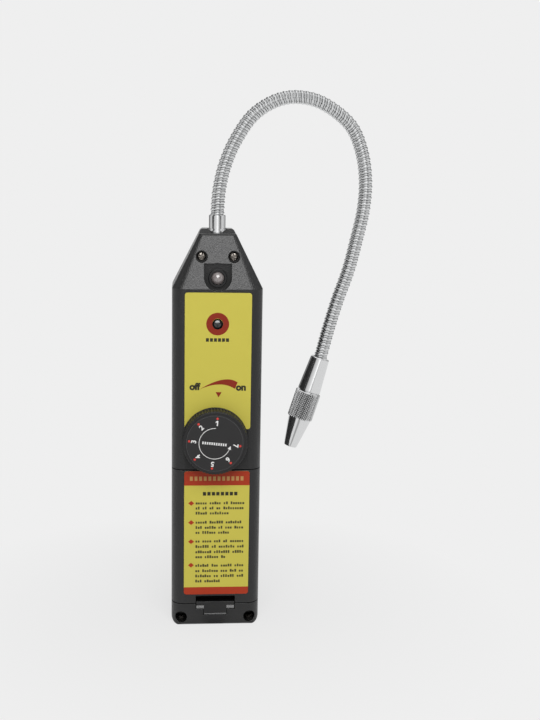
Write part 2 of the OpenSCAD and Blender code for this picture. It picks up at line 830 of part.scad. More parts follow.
module board_screws() {
    color(steel) at_board_posts() translate([0, board_back, 0]) mirror([0, 1, 0])
        cross_screw(board_shank_d, board_shank_len, board_head_d, board_head_h);
}

// Winding on a square core, on the back of the board
module step_up_transformer() {
    core = [14, 11, 12];
    bobbin_r = 5;
    flange_h = 1.2;
    place = [-board_w / 4, board_back, (board_z + board_top) / 2 + core[2]];
    color([0.30, 0.29, 0.28]) translate(place) {
        translate([-core[0] / 2, 0, -core[2] / 2]) cube([core[0], flange_h, core[2]]);
        translate([-core[0] / 2, core[1] - flange_h, -core[2] / 2]) cube([core[0], flange_h, core[2]]);
        along_y(0, 0, 0, core[1], bobbin_r);
    }
}

module control_chip() {
    chip = [6.4, 3.4, 19];
    stand = 0.5;
    pins = 7;
    pin = 0.6;
    pitch = 2.54;
    foot = board_z + board_lift + pot_d;
    color([0.10, 0.10, 0.10]) translate([board_w / 4, board_back, foot]) {
        translate([-chip[0] / 2, stand, 0]) cube(chip);
        for (x = [-1, 1], i = [0 : pins - 1])
            translate([x * (chip[0] / 2) - pin / 2, 0, pitch / 2 + i * pitch]) cube([pin, chip[1] / 2, pin]);
    }
}

module capacitors() {
    can_d = 8;
    can_h = 12;
    foot = board_z + board_lift + pot_d;
    color([0.16, 0.20, 0.42]) for (i = [0, 1])
        along_y(-board_w / 4, foot + i * (can_d + 2), board_back, board_back + can_h, can_d / 2);
}

module battery_tray() {
    color(dark_plastic) difference() {
        translate([-tray_w / 2, tray_front_y, tray_z])
            cube([tray_w, tray_back_y - tray_front_y, tray_top - tray_z]);
        for (x = [-1, 1]) translate([x * cell_pitch / 2, cell_y, tray_in]) {
            cylinder(h = cell_room_len, r = trough_r);
            translate([-trough_r, -far, 0]) cube([2 * trough_r, far, cell_room_len]);
        }
    }
}

// Round cell with its button up
module cell() {
    skin_gap = 0.6;
    can_len = cell_len - button_h;
    rotate_extrude() polygon([[0, 0], [cell_d / 2 - skin_gap, 0], [cell_d / 2, skin_gap],
                              [cell_d / 2, can_len - skin_gap], [cell_d / 2 - skin_gap, can_len],
                              [button_d / 2, can_len], [button_d / 2, cell_len], [0, cell_len]]);
}

module left_cell() {
    color(copper) translate([-cell_pitch / 2, cell_y, upper_contact_z - cell_len]) cell();
}

module right_cell() {
    color(copper) translate([cell_pitch / 2, cell_y, lower_contact_z + cell_len]) mirror([0, 0, 1]) cell();
}

module contact(x, w, z) {
    translate([x - w / 2, cell_y - contact_d / 2, z]) cube([w, contact_d, contact_t]);
}

module bridge_contact() {
    color(steel) {
        for (x = [-1, 1])
            contact(x * cell_pitch / 2, contact_w, upper_contact_z);
        // Strap in front of the tray's middle rib
        translate([-cell_pitch / 2, tray_front_y - contact_t, upper_contact_z])
            cube([cell_pitch, contact_t, contact_t]);
        for (x = [-1, 1])
            translate([x * cell_pitch / 2 - contact_w / 4, tray_front_y - contact_t, upper_contact_z])
                cube([contact_w / 2, cell_y - tray_front_y, contact_t]);
    }
}

module left_terminal() {
    color(steel) contact(-cell_pitch / 2, contact_w, tray_in);
}

module right_terminal() {
    color(steel) contact(cell_pitch / 2, contact_w, tray_in);
}

// Unit vector
function unit(v) = v / norm(v);

// Direction of a path at point i
function way(path, i) = unit(path[min(i + 1, len(path) - 1)] - path[max(i - 1, 0)]);

// Side vectors that stay square to a path without turning about it
function sides_of(path, first) = [
    for (i = 0, v = first; i < len(path);
         i = i + 1, v = i < len(path) ? unit(v - way(path, i) * (v * way(path, i))) : v) v];

// Faces of a closed tube: rings of points in order, then both ends
function tube_faces(rings, sides) = concat(
    [for (i = [0 : rings - 2], j = [0 : sides - 1])
        let (a = i * sides + j, b = i * sides + (j + 1) % sides) [a, a + sides, b + sides, b]],
    [[for (j = [0 : sides - 1]) j]],
    [[for (j = [sides - 1 : -1 : 0]) (rings - 1) * sides + j]]);

// One ring of points about a path, with a radius for each angle
function ring(path, vectors, i, radii) =
    let (t = way(path, i), u = vectors[i], v = cross(t, u), n = len(radii))
    [for (j = [0 : n - 1]) path[i] + radii[j] * (cos(360 * j / n) * u + sin(360 * j / n) * v)];

module round_tube(path, r, sides, first) {
    vectors = sides_of(path, first);
    even = [for (j = [1 : sides]) r];
    points = [for (i = [0 : len(path) - 1], p = ring(path, vectors, i, even)) p];
    polyhedron(points, tube_faces(len(path), sides));
}

// Pressed cone spring from the origin upwards
module contact_spring() {
    steps = 14;
    count = spring_turns * steps;
    wire_r = spring_wire / 2;
    rise = spring_len - spring_wire;
    narrow = 0.45;
    path = [for (i = [0 : count])
        let (share = i / count, a = 360 * i / steps, r = (spring_d - spring_wire) / 2 * (1 - narrow * share))
        [r * cos(a), r * sin(a), wire_r + rise * share]];
    round_tube(path, wire_r, 6, [1, 0, 0]);
}

module lower_spring() {
    color(steel) translate([-cell_pitch / 2, cell_y, lower_contact_z]) contact_spring();
}

module upper_spring() {
    color(steel) translate([cell_pitch / 2, cell_y, upper_contact_z]) mirror([0, 0, 1]) contact_spring();
}

module neck_collar() {
    tail_z = collar_seat_z - wall - nut_h - tail_run;
    bore = neck_d / 2 + neck_fit;
    pass = passage_d / 2;
    r = collar_d / 2;
    color(chrome) rotate_extrude() polygon([
        [pass, tail_z], [tail_d / 2, tail_z], [tail_d / 2, collar_seat_z], [collar_foot_d / 2, collar_seat_z],
        [collar_foot_d / 2, collar_seat_z + collar_foot_h], [r, collar_seat_z + 2 * collar_foot_h],
        [r, collar_top - rim_bevel], [r - rim_bevel / 2, collar_top], [bore, collar_top],
        [bore, neck_start], [pass, neck_start]]);
}

module collar_nut() {
    color(steel) translate([0, 0, collar_seat_z - wall - nut_h]) difference() {
        cylinder(h = nut_h, r = nut_w / sqrt(3), $fn = 6);
        translate([0, 0, -1]) cylinder(h = nut_h + 2, r = tail_d / 2 + neck_fit);
    }
}

// Smooth curve through points, from p1 to p2
function curve_point(p0, p1, p2, p3, t) = 0.5 * (2 * p1 + (p2 - p0) * t
    + (2 * p0 - 5 * p1 + 4 * p2 - p3) * t * t + (3 * p1 - p0 - 3 * p2 + p3) * t * t * t);

neck_points = concat([[0, -neck_seat], [0, 0]], neck_route, [tip_top, tip_top + neck_seat * tip_way]);
neck_last = len(neck_points) - 1;
function neck_knot(i) = i < 0 ? 2 * neck_points[0] - neck_points[1]
    : i > neck_last ? 2 * neck_points[neck_last] - neck_points[neck_last - 1] : neck_points[i];
neck_curve = [for (i = [0 : neck_last - 1], k = [0 : curve_steps - (i == neck_last - 1 ? 0 : 1)])
    curve_point(neck_knot(i - 1), neck_knot(i), neck_knot(i + 1), neck_knot(i + 2), k / curve_steps)];
neck_runs = [for (i = 0, s = 0; i < len(neck_curve);
    i = i + 1, s = i < len(neck_curve) ? s + norm(neck_curve[i] - neck_curve[i - 1]) : s) s];
neck_len = neck_runs[len(neck_runs) - 1];
neck_xs = [for (i = [0 : len(neck_runs) - 1]) [neck_runs[i], neck_curve[i][0]]];
neck_zs = [for (i = [0 : len(neck_runs) - 1]) [neck_runs[i], neck_curve[i][1]]];
function neck_at(s) = [lookup(s, neck_xs), 0, collar_top + lookup(s, neck_zs)];

// Hollow wound tube: the radius rises and falls along a screw line
module gooseneck() {
    ring_count = round(neck_len / winding_pitch * neck_rings_per_turn);
    step = neck_len / ring_count;
    outer = [for (i = [0 : ring_count]) neck_at(i * step)];
    vectors = sides_of(outer, [1, 0, 0]);
    mean_r = neck_d / 2 - winding_d / 2;
    turn = 360 / winding_pitch;
    outer_points = [for (i = [0 : ring_count], p = ring(outer, vectors, i,
        [for (j = [0 : neck_sides - 1])
            mean_r + winding_d / 2 * cos(turn * i * step - 360 * j / neck_sides)])) p];
    picks = concat([for (i = [0 : neck_inner_step : ring_count - 1]) i], [ring_count]);
    even = [for (j = [1 : neck_sides]) neck_bore_d / 2];
    inner_points = [for (i = picks, p = ring(outer, vectors, i, even)) p];
    base = len(outer_points);
    last = ring_count * neck_sides;
    inner_last = base + (len(picks) - 1) * neck_sides;
    outer_faces = [for (i = [0 : ring_count - 1], j = [0 : neck_sides - 1])
        let (a = i * neck_sides + j, b = i * neck_sides + (j + 1) % neck_sides)
        [a, a + neck_sides, b + neck_sides, b]];
    inner_faces = [for (i = [0 : len(picks) - 2], j = [0 : neck_sides - 1])
        let (a = base + i * neck_sides + j, b = base + i * neck_sides + (j + 1) % neck_sides)
        [b, b + neck_sides, a + neck_sides, a]];
    end_faces = [for (j = [0 : neck_sides - 1], end = [0, 1])
        let (k = (j + 1) % neck_sides)
        end == 0 ? [j, k, base + k, base + j] : [last + k, last + j, inner_last + j, inner_last + k]];
    color(chrome) polyhedron(concat(outer_points, inner_points), concat(outer_faces, inner_faces, end_faces));
}

// Lead from the back of the board through collar and neck to the socket
module sensor_lead() {
    solder_z = nose_screw_z - boss_d / 2 - nose_screw_rise / 2;
    bend = 6;
    steps = 6;
    rise = [for (i = [0 : steps])
        let (a = 90 * i / steps) [0, bend * (sin(a) - 1), solder_z + bend * (1 - cos(a))]];
    count = round(neck_len / lead_step);
    in_neck = [for (i = [0 : count]) neck_at(neck_len * i / count)];
    way_out = tip_way * (sleeve_start - neck_seat + lead_end);
    end_point = in_neck[count] + [way_out[0], 0, way_out[1]];
    path = concat([[0, board_back, solder_z]], rise, in_neck, [end_point]);
    color([0.12, 0.12, 0.12]) round_tube(path, lead_d / 2, lead_sides, [1, 0, 0]);
}

// Frame of the tip: origin where the neck goes in, +Z along the probe
module at_tip() {
    translate([tip_top[0], 0, collar_top + tip_top[1]]) rotate([0, 180 + tip_lean, 0]) children();
}

// Depth in the sleeve at which the socket starts
sleeve_start = neck_seat + 4;
socket_end = sleeve_start + socket_len;
spigot_end = sleeve_len + spigot_len;

module tip_sleeve() {
    bore = neck_d / 2 + neck_fit;
    pass = passage_d / 2;
    seat = socket_d / 2 + part_fit;
    color(chrome) at_tip() rotate_extrude() polygon([
        [bore, 0], [sleeve_d / 2 - rim_bevel, 0], [sleeve_d / 2, rim_bevel],
        [sleeve_end_d / 2, sleeve_len - rim_bevel], [sleeve_end_d / 2 - rim_bevel, sleeve_len],
        [spigot_d / 2, sleeve_len], [spigot_d / 2, spigot_end], [seat, spigot_end],
        [seat, sleeve_start], [pass, sleeve_start], [pass, neck_seat], [bore, neck_seat]]);
}

module sensor_socket() {
    color(dark_plastic) at_tip() difference() {
        translate([0, 0, sleeve_start]) cylinder(h = socket_len, r = socket_d / 2);
        translate([0, 0, sleeve_start - 1]) cylinder(h = 1 + lead_end, r = lead_d / 2 + part_fit);
    }
}

module sensor_element() {
    guard = 0.7;
    color(copper) at_tip() translate([0, 0, socket_end]) {
        cylinder(h = sensor_len * guard, r = sensor_d / 2);
        cylinder(h = sensor_len, r = sensor_d / 4);
    }
}

module sensor_cap() {
    start = sleeve_len + cap_gap;
    knurl_end = start + knurl_len;
    cap_end = knurl_end + cone_len;
    chamber_end = socket_end + sensor_len + chamber_wall;
    fit_r = spigot_d / 2 + run_fit;
    color(chrome) at_tip() difference() {
        union() {
            intersection() {
                translate([0, 0, start]) linear_extrude(knurl_len)
                    polygon(toothed(knurl_d / 2, knurl_d / 2 - knurl_deep, knurl_count));
                rotate_extrude() polygon([
                    [0, start], [knurl_d / 2 - rim_bevel, start], [knurl_d / 2, start + rim_bevel],
                    [knurl_d / 2, knurl_end - rim_bevel], [knurl_d / 2 - rim_bevel, knurl_end],
                    [0, knurl_end]]);
            }
            rotate_extrude() polygon([
                [0, knurl_end - 1], [cone_d / 2, knurl_end - 1], [cone_d / 2, knurl_end],
                [cone_end_d / 2, cap_end - rim_bevel], [cone_end_d / 2 - rim_bevel, cap_end], [0, cap_end]]);
        }
        translate([0, 0, start - 1]) cylinder(h = spigot_end + 1 + cap_gap - start, r = fit_r);
        translate([0, 0, start]) cylinder(h = chamber_end - start, r = sensor_d / 2 + cap_gap);
        cylinder(h = far, r = air_hole_d / 2);
    }
}

front_cover();
rear_cover();
battery_door();
front_label();
door_label();
case_screws();
lamp_ring();
indicator_lamp();
buzzer();
sensitivity_dial();
dial_plate();
sensitivity_pot();
pot_shaft();
circuit_board();
board_screws();
step_up_transformer();
control_chip();
capacitors();
battery_tray();
left_cell();
right_cell();
bridge_contact();
left_terminal();
right_terminal();
lower_spring();
upper_spring();
neck_collar();
collar_nut();
gooseneck();
sensor_lead();
tip_sleeve();
sensor_socket();
sensor_element();
sensor_cap();
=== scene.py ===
import math
import random

import bmesh
import bpy
from mathutils import Matrix, Vector


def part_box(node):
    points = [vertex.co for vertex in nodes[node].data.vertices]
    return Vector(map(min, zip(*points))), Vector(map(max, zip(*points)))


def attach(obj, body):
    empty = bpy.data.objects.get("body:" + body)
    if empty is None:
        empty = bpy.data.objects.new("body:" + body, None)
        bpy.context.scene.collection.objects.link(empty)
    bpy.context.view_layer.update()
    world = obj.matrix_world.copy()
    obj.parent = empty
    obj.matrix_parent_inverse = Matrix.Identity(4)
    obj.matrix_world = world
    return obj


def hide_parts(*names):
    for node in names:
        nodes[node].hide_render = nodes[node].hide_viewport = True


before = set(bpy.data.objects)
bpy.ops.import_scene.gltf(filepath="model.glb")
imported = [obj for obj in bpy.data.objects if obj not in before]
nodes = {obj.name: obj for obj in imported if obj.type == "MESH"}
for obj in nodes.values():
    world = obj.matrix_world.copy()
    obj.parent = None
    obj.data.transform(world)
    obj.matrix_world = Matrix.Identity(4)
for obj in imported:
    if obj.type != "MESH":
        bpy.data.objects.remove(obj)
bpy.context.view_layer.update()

scene = bpy.context.scene
scene.view_settings.view_transform = "Standard"
mm = 0.001
print("frame loaded:", len(nodes), "nodes")


# small helpers for node trees

def feed(tree, socket, value):
    # a socket is linked, anything else becomes the input's own value
    if isinstance(value, bpy.types.NodeSocket):
        tree.links.new(value, socket)
    else:
        socket.default_value = value


def fill(tree, node, values):
    for label, value in values.items():
        feed(tree, node.inputs[label], value)
    return node


def addNode(tree, kind, values=None, **settings):
    node = tree.nodes.new(kind)
    for key, value in settings.items():
        setattr(node, key, value)
    return fill(tree, node, values or {})


def calc(tree, operation, first, second=0.0, third=0.0):
    node = addNode(tree, "ShaderNodeMath", operation=operation)
    for socket, value in zip(node.inputs, (first, second, third)):
        feed(tree, socket, value)
    return node.outputs[0]


def vectorCalc(tree, operation, first, second=None, scale=None):
    node = addNode(tree, "ShaderNodeVectorMath", operation=operation)
    feed(tree, node.inputs[0], first)
    if second is not None:
        feed(tree, node.inputs[1], second)
    if scale is not None:
        feed(tree, node.inputs["Scale"], scale)
    return node.outputs["Value" if operation == "DOT_PRODUCT" else "Vector"]


def remap(tree, value, fromLow, fromHigh, toLow, toHigh):
    node = addNode(tree, "ShaderNodeMapRange", {"Value": value, "From Min": fromLow, "From Max": fromHigh,
                                                "To Min": toLow, "To Max": toHigh})
    return node.outputs["Result"]


def mixColor(tree, share, first, second):
    node = addNode(tree, "ShaderNodeMix", {"Factor": share, "A": first, "B": second}, data_type="RGBA")
    return node.outputs["Result"]


def noise(tree, vector, size, detail=2.0, roughness=0.5):
    node = addNode(tree, "ShaderNodeTexNoise", {"Vector": vector, "Scale": size, "Detail": detail,
                                                "Roughness": roughness})
    return node.outputs["Fac"]


def opaque(red, green, blue):
    return (red, green, blue, 1.0)


def grey(level):
    return opaque(level, level, level)


# shader groups that several finishes share

def shaderGroup(name, inputs, outputs):
    tree = bpy.data.node_groups.new(name, "ShaderNodeTree")
    for label, value in inputs.items():
        tree.interface.new_socket(label, in_out="INPUT", socket_type="NodeSocketFloat").default_value = value
    for label, kind in outputs.items():
        tree.interface.new_socket(label, in_out="OUTPUT", socket_type="NodeSocket" + kind)
    return tree, tree.nodes.new("NodeGroupInput").outputs, tree.nodes.new("NodeGroupOutput").inputs


def makeGrainGroup():
    # fine moulded or rolled grain, with slow cloudy changes over it
    tree, given, result = shaderGroup("surfaceGrain", {"Grain Scale": 2500.0, "Cloud Scale": 60.0},
                                      {"Height": "Float", "Grain": "Float", "Cloud": "Float"})
    place = addNode(tree, "ShaderNodeTexCoord").outputs["Object"]
    fine = noise(tree, place, given["Grain Scale"], 3.0, 0.6)
    pits = addNode(tree, "ShaderNodeTexVoronoi", {"Vector": place, "Scale": given["Grain Scale"]}, feature="F1")
    grain = calc(tree, "ADD", calc(tree, "MULTIPLY", fine, 0.6),
                 calc(tree, "MULTIPLY", pits.outputs["Distance"], 0.4))
    feed(tree, result["Height"], grain)
    feed(tree, result["Grain"], fine)
    feed(tree, result["Cloud"], noise(tree, place, given["Cloud Scale"], 4.0, 0.55))
    return tree


def makeEdgeGroup():
    # rounds sharp edges for the light, and tells where they are
    tree, given, result = shaderGroup("softEdge", {"Radius": 0.0003, "Wear Scale": 700.0},
                                      {"Normal": "Vector", "Wear": "Float"})
    rounded = addNode(tree, "ShaderNodeBevel", {"Radius": given["Radius"]}, samples=6)
    flat = addNode(tree, "ShaderNodeNewGeometry").outputs["Normal"]
    bend = calc(tree, "SUBTRACT", 1.0, vectorCalc(tree, "DOT_PRODUCT", rounded.outputs["Normal"], flat))
    place = addNode(tree, "ShaderNodeTexCoord").outputs["Object"]
    patchy = remap(tree, noise(tree, place, given["Wear Scale"], 5.0, 0.65), 0.42, 0.62, 0.0, 1.0)
    feed(tree, result["Normal"], rounded.outputs["Normal"])
    feed(tree, result["Wear"], calc(tree, "MULTIPLY", remap(tree, bend, 0.02, 0.25, 0.0, 1.0), patchy))
    return tree


def makeScuffGroup():
    # long thin rubs that only change the gloss
    tree, given, result = shaderGroup("lightScuffs", {"Scale": 90.0, "Amount": 0.5}, {"Mask": "Float"})
    place = addNode(tree, "ShaderNodeTexCoord").outputs["Object"]
    stretch = addNode(tree, "ShaderNodeMapping", {"Vector": place, "Rotation": (0.3, 0.5, 0.9),
                                                  "Scale": (1.0, 9.0, 1.0)})
    lines = noise(tree, stretch.outputs["Vector"], given["Scale"], 6.0, 0.7)
    mask = remap(tree, lines, 0.58, 0.72, 0.0, 1.0)
    feed(tree, result["Mask"], calc(tree, "MULTIPLY", mask, given["Amount"]))
    return tree


groups = {"grain": makeGrainGroup(), "edge": makeEdgeGroup(), "scuff": makeScuffGroup()}


def placeGroup(tree, key, values):
    node = addNode(tree, "ShaderNodeGroup", values, node_tree=groups[key])
    return node.outputs


# what all finishes share, then what all inks share
# the calm colour is a painted shade, laid into recesses by ambient occlusion
anyFinish = {"grainSpan": (0.3, 0.7), "cloudScale": 60.0, "scuffScale": 90.0, "aoSamples": 6, "gapShadeSpan": (0.2, 0.8),
             "bareSpan": (0.55, 0.92), "calmGloss": 0.65, "recessShadeColor": (0.005, 0.005, 0.005), "coatRough": 0.14}
anyInk = {"rough": (0.42, 0.5), "grain": 2600.0, "relief": 0.000006, "specular": 0.3, "scuff": 0.05}

# finishes: one entry for each material
finishes = {
    # case plastic paints shade into its recesses, its screw holes and under the dial
    "casePlastic": {"color": (0.010, 0.010, 0.0104), "cloudColor": (0.013, 0.013, 0.0134), "rough": (0.27, 0.37),
                    "grain": 1900.0, "relief": 0.00025, "specular": 0.42, "edge": 0.00035, "coat": 0.22, "calmAndShadeReach": 0.005,
                    "wearColor": (0.075, 0.075, 0.077), "wear": 0.35, "scuff": 0.05},
    "blackPlastic": {"color": (0.009, 0.009, 0.0095), "cloudColor": (0.012, 0.012, 0.0125), "rough": (0.26, 0.36),
                     "grain": 1500.0, "relief": 0.00001, "specular": 0.4, "edge": 0.00025,
                     "wearColor": (0.05, 0.05, 0.05), "wear": 0.2, "scuff": 0.06},
    "buzzerBlack": {"color": (0.006, 0.006, 0.006), "cloudColor": (0.008, 0.008, 0.008), "rough": (0.10, 0.16),
                    "grain": 900.0, "relief": 0.000004, "specular": 0.5, "edge": 0.0002, "ior": 1.75,
                    "wearColor": (0.03, 0.03, 0.03), "wear": 0.1, "scuff": 0.04},
    # the dial's lighter edge colour is partly real wear and partly a painted highlight on the ends of its teeth
    "dialPlastic": {"color": (0.020, 0.0195, 0.020), "cloudColor": (0.024, 0.0235, 0.024), "rough": (0.42, 0.50),
                    "grain": 2200.0, "relief": 0.00003, "specular": 0.25, "edge": 0.00022,
                    "wearColor": (0.09, 0.09, 0.092), "wear": 0.5, "scuff": 0.05},
    "dialFace": {"color": (0.024, 0.0235, 0.024), "cloudColor": (0.028, 0.0275, 0.028), "rough": (0.42, 0.5),
                 "grain": 2600.0, "relief": 0.00002, "specular": 0.28, "edge": 0.0001,
                 "wearColor": (0.06, 0.06, 0.06), "wear": 0.2, "scuff": 0.05},
    "yellowFoil": {"color": (0.585, 0.515, 0.076), "cloudColor": (0.605, 0.535, 0.084), "rough": (0.40, 0.48),
                   "grain": 1800.0, "relief": 0.000008, "specular": 0.3, "edge": 0.0001,
                   "wearColor": (0.66, 0.62, 0.24), "wear": 0.3, "scuff": 0.05},
    "redInk": {**anyInk, "color": (0.238, 0.018, 0.0045), "cloudColor": (0.256, 0.021, 0.006),
               "rough": (0.40, 0.48)},
    "doorRed": {**anyInk, "color": (0.384, 0.033, 0.0075), "cloudColor": (0.410, 0.038, 0.009),
                "rough": (0.40, 0.48)},
    "lineInk": {**anyInk, "color": (0.048, 0.044, 0.018), "cloudColor": (0.062, 0.057, 0.023)},
    "darkInk": {**anyInk, "color": (0.026, 0.024, 0.012), "cloudColor": (0.036, 0.033, 0.016)},
    "paleInk": {**anyInk, "color": (0.50, 0.27, 0.085), "cloudColor": (0.54, 0.30, 0.10)},
    "whiteInk": {**anyInk, "color": (0.78, 0.78, 0.77), "cloudColor": (0.84, 0.84, 0.83),
                 "rough": (0.45, 0.55), "relief": 0.000008},
    # a light grey film for the painted highlight along the dial plate's edge
    "greyInk": {**anyInk, "color": (0.075, 0.075, 0.078), "cloudColor": (0.11, 0.11, 0.115),
                "rough": (0.4, 0.5), "grain": 1500.0, "relief": 0.000008},
    "dotInk": {**anyInk, "color": (0.60, 0.045, 0.035), "cloudColor": (0.66, 0.06, 0.05),
               "rough": (0.4, 0.5), "relief": 0.000008},
    "boardGreen": {"color": (0.018, 0.10, 0.036), "cloudColor": (0.026, 0.13, 0.045), "rough": (0.30, 0.40),
                   "grain": 1200.0, "relief": 0.00002, "specular": 0.45, "edge": 0.0002,
                   "wearColor": (0.25, 0.22, 0.10), "wear": 0.5, "scuff": 0.05},
    "windingTape": {"color": (0.080, 0.070, 0.055), "cloudColor": (0.11, 0.095, 0.07), "rough": (0.35, 0.5),
                    "grain": 900.0, "relief": 0.00004, "specular": 0.4, "edge": 0.0003,
                    "wearColor": (0.16, 0.13, 0.09), "wear": 0.4, "scuff": 0.05},
    "chipBlack": {"color": (0.012, 0.012, 0.013), "cloudColor": (0.018, 0.018, 0.019), "rough": (0.45, 0.6),
                  "grain": 2000.0, "relief": 0.00003, "specular": 0.4, "edge": 0.0002,
                  "wearColor": (0.06, 0.06, 0.06), "wear": 0.3, "scuff": 0.05},
    "canSleeve": {"color": (0.020, 0.028, 0.11), "cloudColor": (0.026, 0.036, 0.13), "rough": (0.22, 0.32),
                  "grain": 800.0, "relief": 0.00001, "specular": 0.5, "edge": 0.0004,
                  "wearColor": (0.1, 0.12, 0.25), "wear": 0.3, "scuff": 0.08},
    "leadSheath": {"color": (0.011, 0.011, 0.011), "cloudColor": (0.015, 0.015, 0.015), "rough": (0.5, 0.62),
                   "grain": 1800.0, "relief": 0.00003, "specular": 0.35, "scuff": 0.08},
    "cellJacket": {"color": (0.52, 0.33, 0.075), "cloudColor": (0.58, 0.38, 0.10), "rough": (0.24, 0.34),
                   "grain": 700.0, "relief": 0.00001, "specular": 0.5, "edge": 0.0004,
                   "wearColor": (0.6, 0.55, 0.45), "wear": 0.4, "scuff": 0.1, "metal": 0.6},
    "brightChrome": {"color": (0.84, 0.845, 0.85), "cloudColor": (0.88, 0.885, 0.89), "rough": (0.06, 0.12),
                     "grain": 1400.0, "relief": 0.000003, "specular": 0.5, "edge": 0.0002,
                     "wearColor": (0.62, 0.60, 0.56), "wear": 0.3, "scuff": 0.07, "metal": 1.0},
    # the neck wire, the knurl and the screws paint shade into their narrow gaps
    "neckWire": {"color": (0.82, 0.83, 0.835), "cloudColor": (0.87, 0.88, 0.885), "rough": (0.07, 0.12),
                 "grain": 1800.0, "relief": 0.000004, "specular": 0.5, "scuff": 0.08, "metal": 1.0,
                 "gap": 0.0010, "gapShadeSpan": (0.38, 0.86), "gapShadeColor": (0.012, 0.012, 0.012)},
    "knurlChrome": {"color": (0.84, 0.845, 0.85), "cloudColor": (0.88, 0.885, 0.89), "rough": (0.06, 0.12),
                    "grain": 1400.0, "relief": 0.000002, "specular": 0.5, "scuff": 0.06, "metal": 1.0,
                    "gap": 0.0010, "gapShadeSpan": (0.45, 0.65), "gapShadeColor": (0.012, 0.012, 0.012)},
    "screwNickel": {"color": (0.42, 0.385, 0.345), "cloudColor": (0.48, 0.44, 0.395), "rough": (0.20, 0.32),
                    "grain": 1600.0, "relief": 0.00001, "specular": 0.5, "edge": 0.00012,
                    "gap": 0.0014, "gapShadeColor": (0.04, 0.035, 0.03),
                    "wearColor": (0.75, 0.72, 0.68), "wear": 0.5, "scuff": 0.1, "metal": 1.0},
    "tinnedSteel": {"color": (0.52, 0.52, 0.51), "cloudColor": (0.60, 0.60, 0.59), "rough": (0.28, 0.42),
                    "grain": 1300.0, "relief": 0.00001, "specular": 0.5, "edge": 0.0002,
                    "wearColor": (0.7, 0.7, 0.68), "wear": 0.4, "scuff": 0.1, "metal": 1.0},
    "sensorBrass": {"color": (0.60, 0.44, 0.17), "cloudColor": (0.66, 0.50, 0.21), "rough": (0.2, 0.32),
                    "grain": 1300.0, "relief": 0.00001, "specular": 0.5, "edge": 0.0002,
                    "wearColor": (0.75, 0.6, 0.35), "wear": 0.4, "scuff": 0.1, "metal": 1.0},
}


def makeFinish(name, look):
    material = bpy.data.materials.new(name)
    material.use_nodes = True
    tree = material.node_tree
    shader = tree.nodes["Principled BSDF"]
    grain = placeGroup(tree, "grain", {"Grain Scale": look["grain"], "Cloud Scale": anyFinish["cloudScale"]})
    scuff = placeGroup(tree, "scuff", {"Scale": anyFinish["scuffScale"], "Amount": look["scuff"]})
    color = mixColor(tree, grain["Cloud"], opaque(*look["color"]), opaque(*look["cloudColor"]))
    rough = calc(tree, "ADD", remap(tree, grain["Grain"], *anyFinish["grainSpan"], *look["rough"]), scuff["Mask"])
    height = grain["Height"]
    if "calmAndShadeReach" in look:
        # recesses are smoother than the open faces, and their colour is darkened by ambient occlusion: painted shade
        # in pockets, screw holes and under the dial
        shelter = addNode(tree, "ShaderNodeAmbientOcclusion", {"Distance": look["calmAndShadeReach"]},
                          samples=anyFinish["aoSamples"])
        bare = remap(tree, shelter.outputs["AO"], *anyFinish["bareSpan"], 0.0, 1.0)
        height = calc(tree, "MULTIPLY", height, bare)
        rough = calc(tree, "MULTIPLY", rough, remap(tree, bare, 0.0, 1.0, anyFinish["calmGloss"], 1.0))
        color = mixColor(tree, bare, opaque(*anyFinish["recessShadeColor"]), color)
    bump = addNode(tree, "ShaderNodeBump", {"Strength": 1.0, "Distance": look["relief"], "Height": height})
    if "edge" in look:
        edge = placeGroup(tree, "edge", {"Radius": look["edge"]})
        feed(tree, bump.inputs["Normal"], edge["Normal"])
        worn = calc(tree, "MULTIPLY", edge["Wear"], look["wear"])
        color = mixColor(tree, worn, color, opaque(*look["wearColor"]))
    if "gap" in look:
        # painted shade: narrow gaps, such as the windings, the knurl's valleys and the cross recesses, get a darker
        # colour from ambient occlusion
        shade = addNode(tree, "ShaderNodeAmbientOcclusion", {"Distance": look["gap"]},
                        samples=anyFinish["aoSamples"], only_local=True)
        clear = remap(tree, shade.outputs["AO"], *look.get("gapShadeSpan", anyFinish["gapShadeSpan"]), 0.0, 1.0)
        color = mixColor(tree, clear, opaque(*look["gapShadeColor"]), color)
    fill(tree, shader, {
        "Base Color": color, "Roughness": rough, "Normal": bump.outputs["Normal"], "Metallic": look.get("metal", 0.0),
        "Specular IOR Level": look["specular"], "IOR": look.get("ior", 1.5), "Coat Weight": look.get("coat", 0.0),
        "Coat Roughness": anyFinish["coatRough"]})
    return material


finish = {name: makeFinish(name, look) for name, look in finishes.items()}

lampGlass = {"color": (0.40, 0.355, 0.35), "core": (0.30, 0.26, 0.255), "rough": (0.08, 0.16), "grain": 400.0,
             "cloud": 350.0, "clear": 0.35, "ior": 1.5, "coatRough": 0.06, "coatIor": 1.9}


def makeLampLens(look):
    # milky lens: a soft core under a clear skin
    material = bpy.data.materials.new("lampLens")
    material.use_nodes = True
    tree = material.node_tree
    shader = tree.nodes["Principled BSDF"]
    grain = placeGroup(tree, "grain", {"Grain Scale": look["grain"], "Cloud Scale": look["cloud"]})
    color = mixColor(tree, grain["Cloud"], opaque(*look["color"]), opaque(*look["core"]))
    rough = remap(tree, grain["Grain"], *anyFinish["grainSpan"], *look["rough"])
    fill(tree, shader, {
        "Base Color": color, "Roughness": rough, "Transmission Weight": look["clear"], "IOR": look["ior"],
        "Coat Weight": 1.0, "Coat Roughness": look["coatRough"], "Coat IOR": look["coatIor"]})
    return material


finish["lampLens"] = makeLampLens(lampGlass)
print("finishes made:", len(finish))

